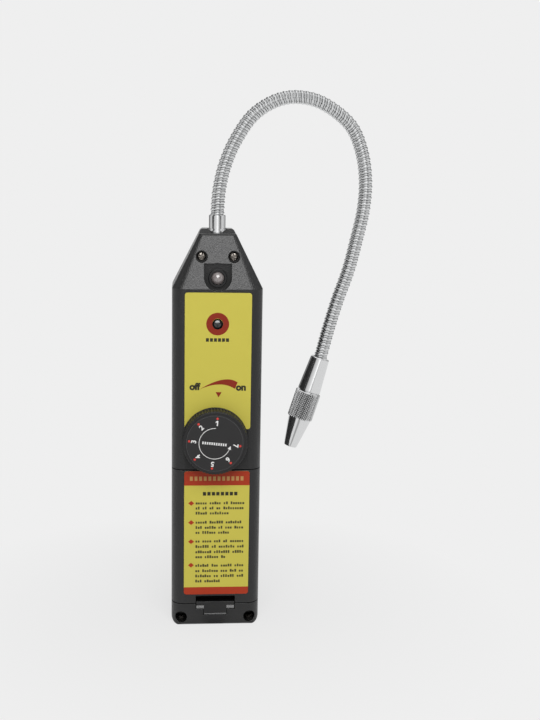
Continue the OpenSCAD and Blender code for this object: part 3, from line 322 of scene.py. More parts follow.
nodeFinish = {
    "casePlastic": ["front_cover", "rear_cover", "battery_door"],
    "yellowFoil": ["front_label", "door_label"],
    "blackPlastic": ["lamp_ring", "battery_tray", "sensor_socket"],
    "buzzerBlack": ["buzzer"],
    "lampLens": ["indicator_lamp"],
    "dialPlastic": ["sensitivity_dial"],
    "dialFace": ["dial_plate"],
    "tinnedSteel": ["sensitivity_pot", "pot_shaft", "bridge_contact", "left_terminal", "right_terminal",
                    "lower_spring", "upper_spring"],
    "boardGreen": ["circuit_board"],
    "windingTape": ["step_up_transformer"],
    "chipBlack": ["control_chip"],
    "canSleeve": ["capacitors"],
    "cellJacket": ["left_cell", "right_cell"],
    "screwNickel": ["case_screws", "board_screws", "collar_nut"],
    "neckWire": ["gooseneck"],
    "brightChrome": ["neck_collar", "tip_sleeve", "sensor_cap"],
    "leadSheath": ["sensor_lead"],
    "sensorBrass": ["sensor_element"],
}
for name, members in nodeFinish.items():
    for node in members:
        nodes[node].data.materials.clear()
        nodes[node].data.materials.append(finish[name])


# meshes and geometry node trees

def addObject(name, mesh):
    piece = bpy.data.objects.new(name, mesh)
    scene.collection.objects.link(piece)
    return piece


def addPiece(name, mesh, material, body, smooth=False):
    # a finished piece sits at the origin, with its place in its mesh
    if material is not None:
        mesh.materials.clear()
        mesh.materials.append(finish[material])
    for face in mesh.polygons:
        face.use_smooth = smooth
    piece = addObject(name, mesh)
    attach(piece, body)
    return piece


def geometryTree(name, inputs):
    tree = bpy.data.node_groups.new(name, "GeometryNodeTree")
    tree.interface.new_socket("Geometry", in_out="INPUT", socket_type="NodeSocketGeometry")
    for label, kind in inputs.items():
        tree.interface.new_socket(label, in_out="INPUT", socket_type="NodeSocket" + kind)
    tree.interface.new_socket("Geometry", in_out="OUTPUT", socket_type="NodeSocketGeometry")
    return tree, tree.nodes.new("NodeGroupInput").outputs


def closeTree(tree, geometry, material):
    realize = addNode(tree, "GeometryNodeRealizeInstances", {"Geometry": geometry})
    paint = addNode(tree, "GeometryNodeSetMaterial", {"Geometry": realize.outputs["Geometry"], "Material": material})
    addNode(tree, "NodeGroupOutput", {"Geometry": paint.outputs["Geometry"]})


def runTree(carrier, tree, values):
    # the tree's result as a plain mesh; the carrier goes
    modifier = carrier.modifiers.new(tree.name, "NODES")
    modifier.node_group = tree
    sockets = {item.name: item.identifier for item in tree.interface.items_tree
               if item.item_type == "SOCKET" and item.in_out == "INPUT"}
    for label, value in values.items():
        modifier[sockets[label]] = value
    graph = bpy.context.evaluated_depsgraph_get()
    mesh = bpy.data.meshes.new_from_object(carrier.evaluated_get(graph), depsgraph=graph)
    carrier.modifiers.remove(modifier)
    bpy.data.objects.remove(carrier)
    return mesh


def pointCarrier(name, points):
    mesh = bpy.data.meshes.new(name)
    mesh.from_pydata([tuple(p) for p in points], [], [])
    return addObject(name, mesh)


def joinMeshes(name, meshes):
    shape = bmesh.new()
    for mesh in meshes:
        shape.from_mesh(mesh)
    joined = bpy.data.meshes.new(name)
    shape.to_mesh(joined)
    shape.free()
    return joined


def lathe(name, profile, segments, matrix):
    # closed outline of (radius, height) turned about Z, then put in place
    shape = bmesh.new()
    rings = []
    for k in range(segments):
        turn = 2 * math.pi * k / segments
        rings.append([shape.verts.new((r * math.cos(turn), r * math.sin(turn), z)) for r, z in profile])
    for k in range(segments):
        here, there = rings[k], rings[(k + 1) % segments]
        for i in range(len(profile)):
            j = (i + 1) % len(profile)
            shape.faces.new((here[i], there[i], there[j], here[j]))
    bmesh.ops.remove_doubles(shape, verts=shape.verts, dist=1e-7)
    bmesh.ops.recalc_face_normals(shape, faces=shape.faces)
    shape.transform(matrix)
    mesh = bpy.data.meshes.new(name)
    shape.to_mesh(mesh)
    shape.free()
    return mesh


# gooseneck: round wire and a thinner filler wire, wound side by side along the bent line
neck = {
    "collarTop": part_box("neck_collar")[1].z / mm,
    "seat": 6.0, "lean": 17.5,
    "route": [(0.8, 12), (3.5, 24), (8.6, 36), (17.1, 48.3), (28.6, 55.6), (40.4, 57.3), (52.5, 53.9),
              (64.9, 44.4), (70.8, 32), (73.2, 17.8), (72.5, 3), (69.4, -12), (65.8, -27),
              (60.7, -42.1), (56.3, -57.5)],
    "tipTop": (52.9, -71.1),
    "outerRadius": 3.5, "wireRadius": 0.82, "fillerRadius": 0.48, "fillerDrop": 0.24, "pitch": 2.6, "coreRadius": 3.0,
    "stepsPerTurn": 22, "wireSides": 8, "coreSides": 16, "lineSteps": 24,
}


def smoothLine(points, steps):
    # the same curve through points as the solid follows
    knots = [2 * points[0] - points[1], *points, 2 * points[-1] - points[-2]]
    line = []
    for i in range(1, len(knots) - 2):
        a, b, c, d = knots[i - 1:i + 3]
        for k in range(steps):
            t = k / steps
            line.append(0.5 * (2 * b + (c - a) * t + (2 * a - 5 * b + 4 * c - d) * t ** 2
                               + (3 * b - a - 3 * c + d) * t ** 3))
    return line + [points[-1]]


def makeWindingTree():
    tree, given = geometryTree("windingOnPath", {
        "Pitch": "Float", "Wire Radius": "Float", "Filler Radius": "Float", "Filler Drop": "Float",
        "Outer Radius": "Float", "Core Radius": "Float", "Steps": "Int", "Wire Sides": "Int", "Core Sides": "Int",
        "Material": "Material"})
    step = calc(tree, "DIVIDE", given["Pitch"], given["Steps"])
    path = addNode(tree, "GeometryNodeResampleCurve", {"Curve": given["Geometry"], "Length": step}, mode="LENGTH")
    along = addNode(tree, "GeometryNodeSplineParameter").outputs["Length"]
    turn = calc(tree, "MULTIPLY", calc(tree, "DIVIDE", along, given["Pitch"]), 2 * math.pi)
    normal = addNode(tree, "GeometryNodeInputNormal").outputs["Normal"]
    tangent = addNode(tree, "GeometryNodeInputTangent").outputs["Tangent"]
    side = vectorCalc(tree, "CROSS_PRODUCT", tangent, normal)
    tubes = [(path.outputs["Curve"], given["Core Radius"], given["Core Sides"])]
    wires = ((0.0, given["Wire Radius"], 0.0), (math.pi, given["Filler Radius"], given["Filler Drop"]))
    for start, thick, drop in wires:
        angle = calc(tree, "ADD", turn, start)
        radius = calc(tree, "SUBTRACT", calc(tree, "SUBTRACT", given["Outer Radius"], thick), drop)
        across = calc(tree, "MULTIPLY", radius, calc(tree, "COSINE", angle))
        aside = calc(tree, "MULTIPLY", radius, calc(tree, "SINE", angle))
        offset = vectorCalc(tree, "ADD", vectorCalc(tree, "SCALE", normal, scale=across),
                            vectorCalc(tree, "SCALE", side, scale=aside))
        wound = addNode(tree, "GeometryNodeSetPosition", {"Geometry": path.outputs["Curve"], "Offset": offset})
        tubes.append((wound.outputs["Geometry"], thick, given["Wire Sides"]))
    parts = addNode(tree, "GeometryNodeJoinGeometry")
    for line, reach, sides in tubes:
        ring = addNode(tree, "GeometryNodeCurvePrimitiveCircle", {"Resolution": sides, "Radius": reach}, mode="RADIUS")
        tube = addNode(tree, "GeometryNodeCurveToMesh", {"Curve": line, "Profile Curve": ring.outputs["Curve"],
                                                         "Fill Caps": True})
        feed(tree, parts.inputs["Geometry"], tube.outputs["Mesh"])
    closeTree(tree, parts.outputs["Geometry"], given["Material"])
    return tree


def makeGooseneck(look):
    lean = math.radians(look["lean"])
    way = Vector((-math.sin(lean), -math.cos(lean)))
    tip = Vector(look["tipTop"])
    points = [Vector((0, -look["seat"])), Vector((0, 0)), *map(Vector, look["route"]), tip, tip + look["seat"] * way]
    line = smoothLine(points, look["lineSteps"])
    data = bpy.data.curves.new("neckLine", "CURVE")
    data.dimensions = "3D"
    spline = data.splines.new("POLY")
    spline.points.add(len(line) - 1)
    for knot, p in zip(spline.points, line):
        knot.co = (p.x * mm, 0, (look["collarTop"] + p.y) * mm, 1)
    mesh = runTree(addObject("neckLine", data), makeWindingTree(), {
        "Pitch": look["pitch"] * mm, "Wire Radius": look["wireRadius"] * mm,
        "Filler Radius": look["fillerRadius"] * mm, "Filler Drop": look["fillerDrop"] * mm,
        "Outer Radius": look["outerRadius"] * mm, "Core Radius": look["coreRadius"] * mm,
        "Steps": look["stepsPerTurn"], "Wire Sides": look["wireSides"], "Core Sides": look["coreSides"],
        "Material": finish["neckWire"]})
    piece = addPiece("woundNeck", mesh, None, "case", smooth=True)
    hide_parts("gooseneck")
    print("wound neck:", len(mesh.polygons), "faces")


makeGooseneck(neck)


# sensor cap: turned body, with a diamond knurl set round its grip
cap = {
    "start": 18.45, "knurlLength": 14.4, "knurlRadius": 6.45, "knurlDepth": 0.45, "around": 30, "rows": 11,
    "coneRadius": 5.85, "coneLength": 15.3, "endRadius": 3.4, "airHole": 2.0, "bevel": 0.4,
    "spigotRadius": 4.65, "spigotEnd": 27.45, "chamberRadius": 3.55, "chamberEnd": 31.2, "segments": 96,
    "spikeFoot": 0.5, "spikeTop": 0.18, "coneSteps": 6, "endRound": (0.15, 0.12), "holeBevel": 0.2, "sharpFrom": 28,
}


def tipMatrix(look):
    place = Vector((look["tipTop"][0], 0, look["collarTop"] + look["tipTop"][1])) * mm
    return Matrix.Translation(place) @ Matrix.Rotation(math.radians(180 + look["lean"]), 4, "Y")


def makeKnurlTree():
    tree, given = geometryTree("diamondKnurl", {
        "Radius": "Float", "Length": "Float", "Depth": "Float", "Foot Share": "Float", "Top Share": "Float",
        "Around": "Int", "Rows": "Int", "Material": "Material"})
    pitch = calc(tree, "DIVIDE", given["Length"], given["Rows"])
    halfTurn = calc(tree, "DIVIDE", math.pi, given["Around"])
    both = addNode(tree, "GeometryNodeJoinGeometry")
    for shift in (0, 1):
        # the second set of rows stands between those of the first
        rows = calc(tree, "SUBTRACT", given["Rows"], 1 + shift)
        barrel = addNode(tree, "GeometryNodeMeshCylinder", {
            "Vertices": given["Around"], "Side Segments": rows, "Radius": given["Radius"],
            "Depth": calc(tree, "MULTIPLY", pitch, rows)}, fill_type="NONE")
        angle = addNode(tree, "ShaderNodeCombineXYZ", {"Z": calc(tree, "MULTIPLY", halfTurn, shift)})
        turned = addNode(tree, "GeometryNodeTransform", {"Geometry": barrel.outputs["Mesh"],
                                                         "Rotation": angle.outputs["Vector"]})
        feed(tree, both.inputs["Geometry"], turned.outputs["Geometry"])
    spike = addNode(tree, "GeometryNodeMeshCone", {
        "Vertices": 4, "Radius Bottom": calc(tree, "MULTIPLY", pitch, given["Foot Share"]),
        "Radius Top": calc(tree, "MULTIPLY", pitch, given["Top Share"]), "Depth": given["Depth"]})
    normal = addNode(tree, "GeometryNodeInputNormal").outputs["Normal"]
    facing = addNode(tree, "FunctionNodeAlignRotationToVector", {"Vector": normal}, axis="Z", pivot_axis="AUTO")
    spread = addNode(tree, "GeometryNodeInstanceOnPoints", {
        "Points": both.outputs["Geometry"], "Instance": spike.outputs["Mesh"], "Rotation": facing.outputs["Rotation"]})
    closeTree(tree, spread.outputs["Instances"], given["Material"])
    return tree


def makeSensorCap(look):
    knurlEnd = look["start"] + look["knurlLength"]
    end = knurlEnd + look["coneLength"]
    root = look["knurlRadius"] - look["knurlDepth"]
    bevel = look["bevel"]
    outline = [(look["spigotRadius"], look["start"]), (root - bevel, look["start"]), (root, look["start"] + bevel),
               (root, knurlEnd - bevel), (look["coneRadius"], knurlEnd)]
    for k in range(1, look["coneSteps"] + 1):
        share = k / look["coneSteps"]
        outline.append((look["coneRadius"] + (look["endRadius"] - look["coneRadius"]) * share,
                        knurlEnd + (look["coneLength"] - bevel) * share))
    inward, back = look["endRound"]
    hole, holeBevel = look["airHole"], look["holeBevel"]
    outline += [(look["endRadius"] - inward, end - back), (look["endRadius"] - bevel, end), (hole + holeBevel, end),
                (hole, end - holeBevel), (hole, look["chamberEnd"]), (look["chamberRadius"], look["chamberEnd"]),
                (look["chamberRadius"], look["spigotEnd"]), (look["spigotRadius"], look["spigotEnd"])]
    place = tipMatrix(neck)
    body = lathe("capBody", [(r * mm, z * mm) for r, z in outline], look["segments"], place)
    knurl = runTree(pointCarrier("knurlCarrier", [(0, 0, 0)]), makeKnurlTree(), {
        "Radius": root * mm, "Length": look["knurlLength"] * mm, "Depth": look["knurlDepth"] * mm,
        "Foot Share": look["spikeFoot"], "Top Share": look["spikeTop"], "Around": look["around"], "Rows": look["rows"],
        "Material": finish["knurlChrome"]})
    knurl.transform(place @ Matrix.Translation((0, 0, (look["start"] + look["knurlLength"] / 2) * mm)))
    mesh = joinMeshes("knurledCap", [body, knurl])
    piece = addPiece("knurledCap", mesh, "knurlChrome", "cap")
    for face in mesh.polygons[:len(body.polygons)]:
        face.use_smooth = True
    mesh.set_sharp_from_angle(angle=math.radians(look["sharpFrom"]))
    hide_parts("sensor_cap")
    print("knurled cap:", len(mesh.polygons), "faces")


makeSensorCap(cap)


# case screws: domed heads with a cross recess, set in their sunk holes
screws = {
    "seats": [(-7.8, -11.5, 185.2), (7.8, -11.5, 185.2), (-17.1, -9.0, 4.2), (17.1, -9.0, 4.2)],
    "headRadius": 2.3, "headHeight": 1.75, "shankRadius": 1.3, "shankLength": 16.0,
    "crossWidth": 0.72, "crossReach": 1.5, "crossDepth": 1.1, "turns": (20, 75, 40, 10),
    "pointShare": 0.8, "pointBevel": 0.4, "rimShare": 0.5, "domeSteps": 6, "segments": 32, "sharpFrom": 35,
}


def makeScrew(look):
    radius, height, shank = look["headRadius"], look["headHeight"], look["shankRadius"]
    rim = look["rimShare"] * height
    outline = [(0, look["shankLength"]), (shank * look["pointShare"], look["shankLength"]),
               (shank, look["shankLength"] - look["pointBevel"]), (shank, 0), (radius, 0), (radius, -rim)]
    for k in range(1, look["domeSteps"] + 1):
        angle = math.pi / 2 * k / look["domeSteps"]
        outline.append((radius * math.cos(angle), -rim - (height - rim) * math.sin(angle)))
    outline = [(max(x, 0.0) * mm, z * mm) for x, z in outline]
    # the screw's axis goes from local Z to +Y, the head towards the face
    upright = Matrix.Rotation(math.radians(-90), 4, "X")
    head = addObject("screwHead", lathe("screwHead", outline, look["segments"], upright))
    shape = bmesh.new()
    for turn in (0, 90):
        size = (2 * look["crossReach"] * mm, 2 * look["crossDepth"] * mm, look["crossWidth"] * mm)
        spin = Matrix.Rotation(math.radians(turn), 4, "Y")
        top = Matrix.Translation((0, -height * mm, 0)) @ spin @ Matrix.Diagonal((*size, 1))
        bmesh.ops.create_cube(shape, size=1.0, matrix=top)
    cutter = bpy.data.meshes.new("crossCutter")
    shape.to_mesh(cutter)
    shape.free()
    tool = addObject("crossCutter", cutter)
    cut = head.modifiers.new("cross", "BOOLEAN")
    cut.operation, cut.solver, cut.object, cut.use_self = "DIFFERENCE", "EXACT", tool, True
    graph = bpy.context.evaluated_depsgraph_get()
    mesh = bpy.data.meshes.new_from_object(head.evaluated_get(graph), depsgraph=graph)
    bpy.data.objects.remove(head)
    bpy.data.objects.remove(tool)
    return mesh


def makeSetTree():
    # copies of one shape, turned about Y, on the carrier's points
    tree, given = geometryTree("setOnPoints", {"Shape": "Object", "Material": "Material"})
    source = addNode(tree, "GeometryNodeObjectInfo", {"Object": given["Shape"]})
    turn = addNode(tree, "GeometryNodeInputNamedAttribute", {"Name": "turn"}, data_type="FLOAT")
    angles = addNode(tree, "ShaderNodeCombineXYZ", {"Y": turn.outputs["Attribute"]})
    spread = addNode(tree, "GeometryNodeInstanceOnPoints", {
        "Points": given["Geometry"], "Instance": source.outputs["Geometry"], "Rotation": angles.outputs["Vector"]})
    closeTree(tree, spread.outputs["Instances"], given["Material"])
    return tree


setTree = makeSetTree()


def setOnPoints(name, mesh, points, turns, material):
    carrier = pointCarrier(name + "Points", points)
    turn = carrier.data.attributes.new("turn", "FLOAT", "POINT")
    turn.data.foreach_set("value", [math.radians(t) for t in turns])
    shape = addObject(name + "Shape", mesh)
    result = runTree(carrier, setTree, {"Shape": shape, "Material": finish[material]})
    bpy.data.objects.remove(shape)
    return result


def makeCaseScrews(look):
    mesh = setOnPoints("caseScrew", makeScrew(look), [Vector(p) * mm for p in look["seats"]], look["turns"],
                       "screwNickel")
    piece = addPiece("crossScrews", mesh, None, "case", smooth=True)
    mesh.set_sharp_from_angle(angle=math.radians(look["sharpFrom"]))
    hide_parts("case_screws")
    print("case screws:", len(look["seats"]))


makeCaseScrews(screws)


# printing: thin films of ink on the labels and on the dial's plate
inkLayer = {"film": 0.03, "sink": 0.01, "cornerSteps": 6, "letterSteps": 6}


def inkFilm(name, outlines, surface):
    # flat outlines of (x, z) in millimetres, given a film's thickness on a surface that faces -Y
    shape = bmesh.new()
    for outline in outlines:
        area = sum(a[0] * b[1] - b[0] * a[1] for a, b in zip(outline, outline[1:] + outline[:1]))
        points = outline if area > 0 else outline[::-1]
        front = [shape.verts.new((x * mm, surface - inkLayer["film"] * mm, z * mm)) for x, z in points]
        back = [shape.verts.new((x * mm, surface + inkLayer["sink"] * mm, z * mm)) for x, z in points]
        shape.faces.new(front)
        shape.faces.new(back[::-1])
        for i in range(len(points)):
            j = (i + 1) % len(points)
            shape.faces.new((front[j], front[i], back[i], back[j]))
    bmesh.ops.recalc_face_normals(shape, faces=shape.faces)
    mesh = bpy.data.meshes.new(name)
    shape.to_mesh(mesh)
    shape.free()
    return mesh


def roundedRectangle(left, foot, right, top, radii):
    # radii of the corners, from the lower left one round by the right
    outline = []
    corners = ((left, foot, 1, 1, 180), (right, foot, -1, 1, 270), (right, top, -1, -1, 0), (left, top, 1, -1, 90))
    for (x, z, sx, sz, first), r in zip(corners, radii):
        count = inkLayer["cornerSteps"] if r > 0 else 0
        for k in range(count + 1):
            angle = math.radians(first + (90 * k / count if count else 0))
            outline.append((x + sx * r + r * math.cos(angle), z + sz * r + r * math.sin(angle)))
    return outline


def disc(x, z, radius, sides=28):
    return [(x + radius * math.cos(2 * math.pi * k / sides), z + radius * math.sin(2 * math.pi * k / sides))
            for k in range(sides)]


def ringParts(x, z, inner, outer, first, last, steps):
    # band along an arc, angles clockwise from the top
    def at(radius, angle):
        return (x + radius * math.sin(math.radians(angle)), z + radius * math.cos(math.radians(angle)))
    angles = [first + (last - first) * k / steps for k in range(steps + 1)]
    return [[at(outer, a), at(outer, b), at(inner, b), at(inner, a)] for a, b in zip(angles, angles[1:])]


def bend(first, middle, last, steps):
    # smooth line through three points
    control = [2 * m - 0.5 * (a + b) for a, m, b in zip(first, middle, last)]
    line = []
    for k in range(steps + 1):
        t = k / steps
        line.append(tuple(a * (1 - t) ** 2 + 2 * c * t * (1 - t) + b * t ** 2
                          for a, c, b in zip(first, control, last)))
    return line


def textMesh(word, size, boldness):
    # flat letters in the XZ plane, middle at the origin, facing -Y
    data = bpy.data.curves.new("word", "FONT")
    data.body = word
    data.size = size * mm
    data.offset = boldness * mm
    data.align_x = "CENTER"
    data.align_y = "CENTER"
    data.extrude = (inkLayer["film"] + inkLayer["sink"]) / 2 * mm
    data.resolution_u = inkLayer["letterSteps"]
    holder = addObject("word", data)
    graph = bpy.context.evaluated_depsgraph_get()
    mesh = bpy.data.meshes.new_from_object(holder.evaluated_get(graph), depsgraph=graph)
    bpy.data.objects.remove(holder)
    mesh.transform(Matrix.Rotation(math.radians(90), 4, "X"))
    return mesh


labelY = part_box("front_label")[0].y
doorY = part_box("door_label")[0].y
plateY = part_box("dial_plate")[0].y
letterY = (inkLayer["film"] - inkLayer["sink"]) / 2 * mm


def makeBlockTree():
    # one small block on each point, sized by the point's own attribute
    tree, given = geometryTree("inkBlocks", {"Material": "Material"})
    block = addNode(tree, "GeometryNodeMeshCube")
    size = addNode(tree, "GeometryNodeInputNamedAttribute", {"Name": "size"}, data_type="FLOAT_VECTOR")
    spread = addNode(tree, "GeometryNodeInstanceOnPoints", {
        "Points": given["Geometry"], "Instance": block.outputs["Mesh"], "Scale": size.outputs["Attribute"]})
    closeTree(tree, spread.outputs["Instances"], given["Material"])
    return tree


blockTree = makeBlockTree()


def inkBlocks(name, blocks, surface, material):
    # blocks of (left, foot, right, top) in millimetres, as a film on a surface that faces -Y
    middle = surface - letterY
    thick = (inkLayer["film"] + inkLayer["sink"]) * mm
    points, sizes = [], []
    for left, foot, right, top in blocks:
        points.append(((left + right) / 2 * mm, middle, (foot + top) / 2 * mm))
        sizes += [(right - left) * mm, thick, (top - foot) * mm]
    carrier = pointCarrier(name + "Points", points)
    size = carrier.data.attributes.new("size", "FLOAT_VECTOR", "POINT")
    size.data.foreach_set("vector", sizes)
    return runTree(carrier, blockTree, {"Material": finish[material]})


def blockRow(left, right, foot, height, count, share):
    # a row of even blocks; share is how much of the pitch a block fills
    pitch = (right - left) / (count - 1 + share)
    return [(left + k * pitch, foot, left + (k + share) * pitch, foot + height) for k in range(count)]


def blockLine(left, right, foot, look, pick):
    # a line of small blocks, in groups of uneven length
    count = round((right - left) / look["pitch"])
    pitch = (right - left) / count
    blocks, gap = [], pick.randint(*look["firstGroup"])
    for k in range(count):
        if k == gap and k < count - 2:
            gap += pick.randint(*look["group"])
            continue
        tall = look["height"] * (look["tallBy"] if pick.random() < look["tallShare"] else 1.0)
        wide = pitch * pick.uniform(*look["width"])
        blocks.append((left + k * pitch, foot, left + k * pitch + wide, foot + tall))
    return blocks


faceMarks = {
    "buzzer": (0.0, 153.3), "buzzerRing": (2.65, 5.5),
    "swooshTip": (-8.5, 121.3), "swooshOuter": (2.3, 126.0), "swooshEnd": (9.9, 124.8),
    "swooshEndFoot": (8.7, 121.5), "swooshInner": (1.0, 123.7),
    "pointer": [(-0.75, 119.9), (2.15, 119.9), (0.7, 117.3)],
    "off": (-10.95, 122.5), "on": (11.6, 122.25), "wordSize": 4.6, "wordBold": 0.25,
    "caption": (-5.6, 5.5, 144.7), "captionBlocks": 6, "captionHeight": 1.7, "captionShare": 0.74,
    "ringSteps": 48, "swooshSteps": 20,
}


def makeFaceMarks(look):
    x, z = look["buzzer"]
    inner, outer = look["buzzerRing"]
    red = ringParts(x, z, inner, outer, 0, 360, look["ringSteps"])
    steps = look["swooshSteps"]
    red.append(bend(look["swooshTip"], look["swooshOuter"], look["swooshEnd"], steps)
               + bend(look["swooshEndFoot"], look["swooshInner"], look["swooshTip"], steps)[:-1])
    red.append(look["pointer"])
    addPiece("faceRedPrint", inkFilm("faceRedPrint", red, labelY), "redInk", "case")
    words = []
    for word in ("off", "on"):
        mesh = textMesh(word, look["wordSize"], look["wordBold"])
        px, pz = look[word]
        mesh.transform(Matrix.Translation((px * mm, labelY - letterY, pz * mm)))
        words.append(mesh)
    row = blockRow(*look["caption"], look["captionHeight"], look["captionBlocks"], look["captionShare"])
    words.append(inkBlocks("faceCaption", row, labelY, "darkInk"))
    addPiece("faceDarkPrint", joinMeshes("faceDarkPrint", words), "darkInk", "case")


makeFaceMarks(faceMarks)

doorLow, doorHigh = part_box("door_label")
doorMarks = {
    "left": doorLow.x / mm, "right": doorHigh.x / mm, "top": doorHigh.z / mm, "foot": doorLow.z / mm, "corner": 1.3,
    "headerFoot": 72.9, "bandTop": 20.1,
    "title": (-13.0, 13.4, 75.35), "titleHeight": 2.15, "titleBlocks": 12, "titleShare": 0.62,
    "heading": (-6.6, 10.5, 67.75), "headingHeight": 1.8, "headingBlocks": 8, "headingShare": 0.72,
    "diamondX": -12.3, "diamondHalf": (1.5, 1.25), "lineLeft": -10.1,
    "line": {"pitch": 1.14, "height": 1.05, "tallBy": 1.38, "tallShare": 0.3, "width": (0.62, 0.84),
             "firstGroup": (2, 7), "group": (3, 8)},
    "blocks": [(63.8, [(63.2, 14.1), (60.6, 13.9), (58.0, 6.4)]),
               (53.9, [(53.3, 12.9), (50.6, 13.7), (48.0, 6.8)]),
               (44.0, [(43.5, 14.0), (40.7, 14.2), (37.9, 14.1), (35.3, 5.0)]),
               (31.7, [(30.8, 14.1), (28.0, 14.0), (25.3, 14.1), (22.6, 2.5)])],
    "seed": 11,
}


def makeDoorMarks(look):
    left, right, corner = look["left"], look["right"], look["corner"]
    header = roundedRectangle(left, look["headerFoot"], right, look["top"], (0, 0, corner, corner))
    band = roundedRectangle(left, look["foot"], right, look["bandTop"], (corner, corner, 0, 0))
    wide, tall = look["diamondHalf"]
    red, lines = [header, band], []
    pick = random.Random(look["seed"])
    for middle, rows in look["blocks"]:
        x = look["diamondX"]
        red.append([(x - wide, middle), (x, middle - tall), (x + wide, middle), (x, middle + tall)])
        for foot, end in rows:
            lines += blockLine(look["lineLeft"], end, foot, look["line"], pick)
    addPiece("doorRedPrint", inkFilm("doorRedPrint", red, doorY), "doorRed", "door")
    addPiece("doorLines", inkBlocks("doorLines", lines, doorY, "lineInk"), None, "door")
    heading = blockRow(*look["heading"], look["headingHeight"], look["headingBlocks"], look["headingShare"])
    addPiece("doorHeading", inkBlocks("doorHeading", heading, doorY, "darkInk"), None, "door")
    title = blockRow(*look["title"], look["titleHeight"], look["titleBlocks"], look["titleShare"])
    over = doorY - inkLayer["film"] * mm
    addPiece("doorTitle", inkBlocks("doorTitle", title, over, "paleInk"), None, "door")


makeDoorMarks(doorMarks)

plateLow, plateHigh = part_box("dial_plate")
dialMarks = {
    "middle": ((plateLow.x + plateHigh.x) / 2 / mm - 0.3, (plateLow.z + plateHigh.z) / 2 / mm - 0.15), "turn": 5.8,
    "dotRadius": 12.4, "dotSize": 0.58, "numberRadius": 10.1, "numberSize": 3.4, "numberBold": 0.1,
    "one": [(-0.05, -1.25), (0.5, -1.25), (0.5, 1.3), (0.05, 1.3), (-0.75, 0.72), (-0.75, 0.15), (-0.05, 0.55)],
    "numbers": 7, "numberStep": 45, "arc": (7.45, 7.72), "arcFrom": -2.0, "arcTo": -254.0, "arcSteps": 60,
    "arrow": 1.15, "arrowLength": 1.5, "arrowHalf": 0.75, "ring": (13.62, 13.74), "ringSteps": 96,
    "caption": (-6.0, 5.7, -0.75), "captionHeight": 1.3, "captionBlocks": 11, "captionShare": 0.58,
}


def makeDialMarks(look):
    x, z = look["middle"]
    dots, white = [], []
    inner, outer = look["arc"]
    start, stop = look["arcFrom"] + look["turn"], look["arcTo"] + look["turn"]
    white += ringParts(x, z, inner, outer, start, stop, look["arcSteps"])
    # the arrow's head closes the arc, pointing the way it runs
    angle = math.radians(stop)
    out = Vector((math.sin(angle), math.cos(angle)))
    ahead = Vector((-out.y, out.x))
    foot = Vector((x, z)) + out * (inner + outer) / 2
    point, wing = ahead * look["arrow"] * look["arrowLength"], out * look["arrow"] * look["arrowHalf"]
    white.append([tuple(foot + point), tuple(foot + wing), tuple(foot - wing)])
    meshes = [inkFilm("dialWhite", white, plateY)]
    row = blockRow(*look["caption"], look["captionHeight"], look["captionBlocks"], look["captionShare"])
    caption = inkBlocks("dialCaption", row, plateY, "whiteInk")
    caption.transform(Matrix.Translation((x * mm, 0, z * mm)) @ Matrix.Rotation(math.radians(look["turn"]), 4, "Y"))
    meshes.append(caption)
    for k in range(look["numbers"]):
        angle = math.radians(look["turn"] - look["numberStep"] * k)
        way = Vector((math.sin(angle), math.cos(angle)))
        at = Vector((x, z)) + way * look["dotRadius"]
        dots.append(disc(at.x, at.y, look["dotSize"]))
        if k == 0:
            number = inkFilm("one", [look["one"]], letterY)
        else:
            number = textMesh(str(k + 1), look["numberSize"], look["numberBold"])
        spot = Vector((x, z)) + way * look["numberRadius"]
        number.transform(Matrix.Translation((spot.x * mm, plateY - letterY, spot.y * mm))
                         @ Matrix.Rotation(angle, 4, "Y"))
        meshes.append(number)
    addPiece("dialNumbers", joinMeshes("dialNumbers", meshes), "whiteInk", "dial")
    addPiece("dialDots", inkFilm("dialDots", dots, plateY), "dotInk", "dial")
    # a light grey ring at the plate's edge: a painted highlight where the edge catches the light
    ring = ringParts(x, z, *look["ring"], 0, 360, look["ringSteps"])
    addPiece("dialRing", inkFilm("dialRing", ring, plateY), "greyInk", "dial")


makeDialMarks(dialMarks)
print("printing laid on")


# studio: pale floor, softboxes, and a surround with pale and dark parts for the metal to show
studio = {
    "paper": 0.863, "frontShine": 0.36, "sideShine": 0.74, "floorAlbedo": 0.86, "floorHalf": 6.0, "ambient": 0.27,
    "sky": 0.95, "skyFrom": (0.78, 0.95),
    "keyPlace": (0.02, -0.87, 0.95), "keySize": (0.95, 0.72), "keyPower": 11.0,
    "nosePlace": (-0.06, -0.87, 0.85), "noseSize": (1.35, 1.15), "nosePower": 28.0,
    "aim": (0.015, 0.0, 0.14),
    "shadowReach": (0.03, 0.16), "shadowPaper": 0.80, "frontAngle": (0.12, 0.28), "farReach": (2.2, 4.0),
    # light level by azimuth in degrees from straight ahead, left negative
    "levels": ((-180, 0.85), (-170, 0.8), (-158, 0.16), (-125, 0.2), (-105, 0.58), (-84, 0.62), (-69, 0.04),
               (-50, 0.03), (-41, 0.55), (-12, 0.8), (0, 1.35), (12, 0.9), (22, 0.7), (33, 0.12), (48, 0.14),
               (60, 0.58), (85, 0.68), (112, 0.6), (130, 0.22), (158, 0.18), (170, 0.8), (180, 0.85)),
}


def addSoftbox(name, place, size, power, aim):
    data = bpy.data.lights.new(name, "AREA")
    data.shape = "RECTANGLE"
    data.size, data.size_y = size
    data.energy = power
    lamp = addObject(name, data)
    lamp.location = place
    lamp.rotation_euler = (Vector(aim) - Vector(place)).to_track_quat("-Z", "Y").to_euler()
    return lamp


def lightOnly(lamp, pieces):
    lit = bpy.data.collections.new(lamp.name + "Lit")
    for piece in pieces:
        lit.objects.link(piece)
    lamp.light_linking.receiver_collection = lit


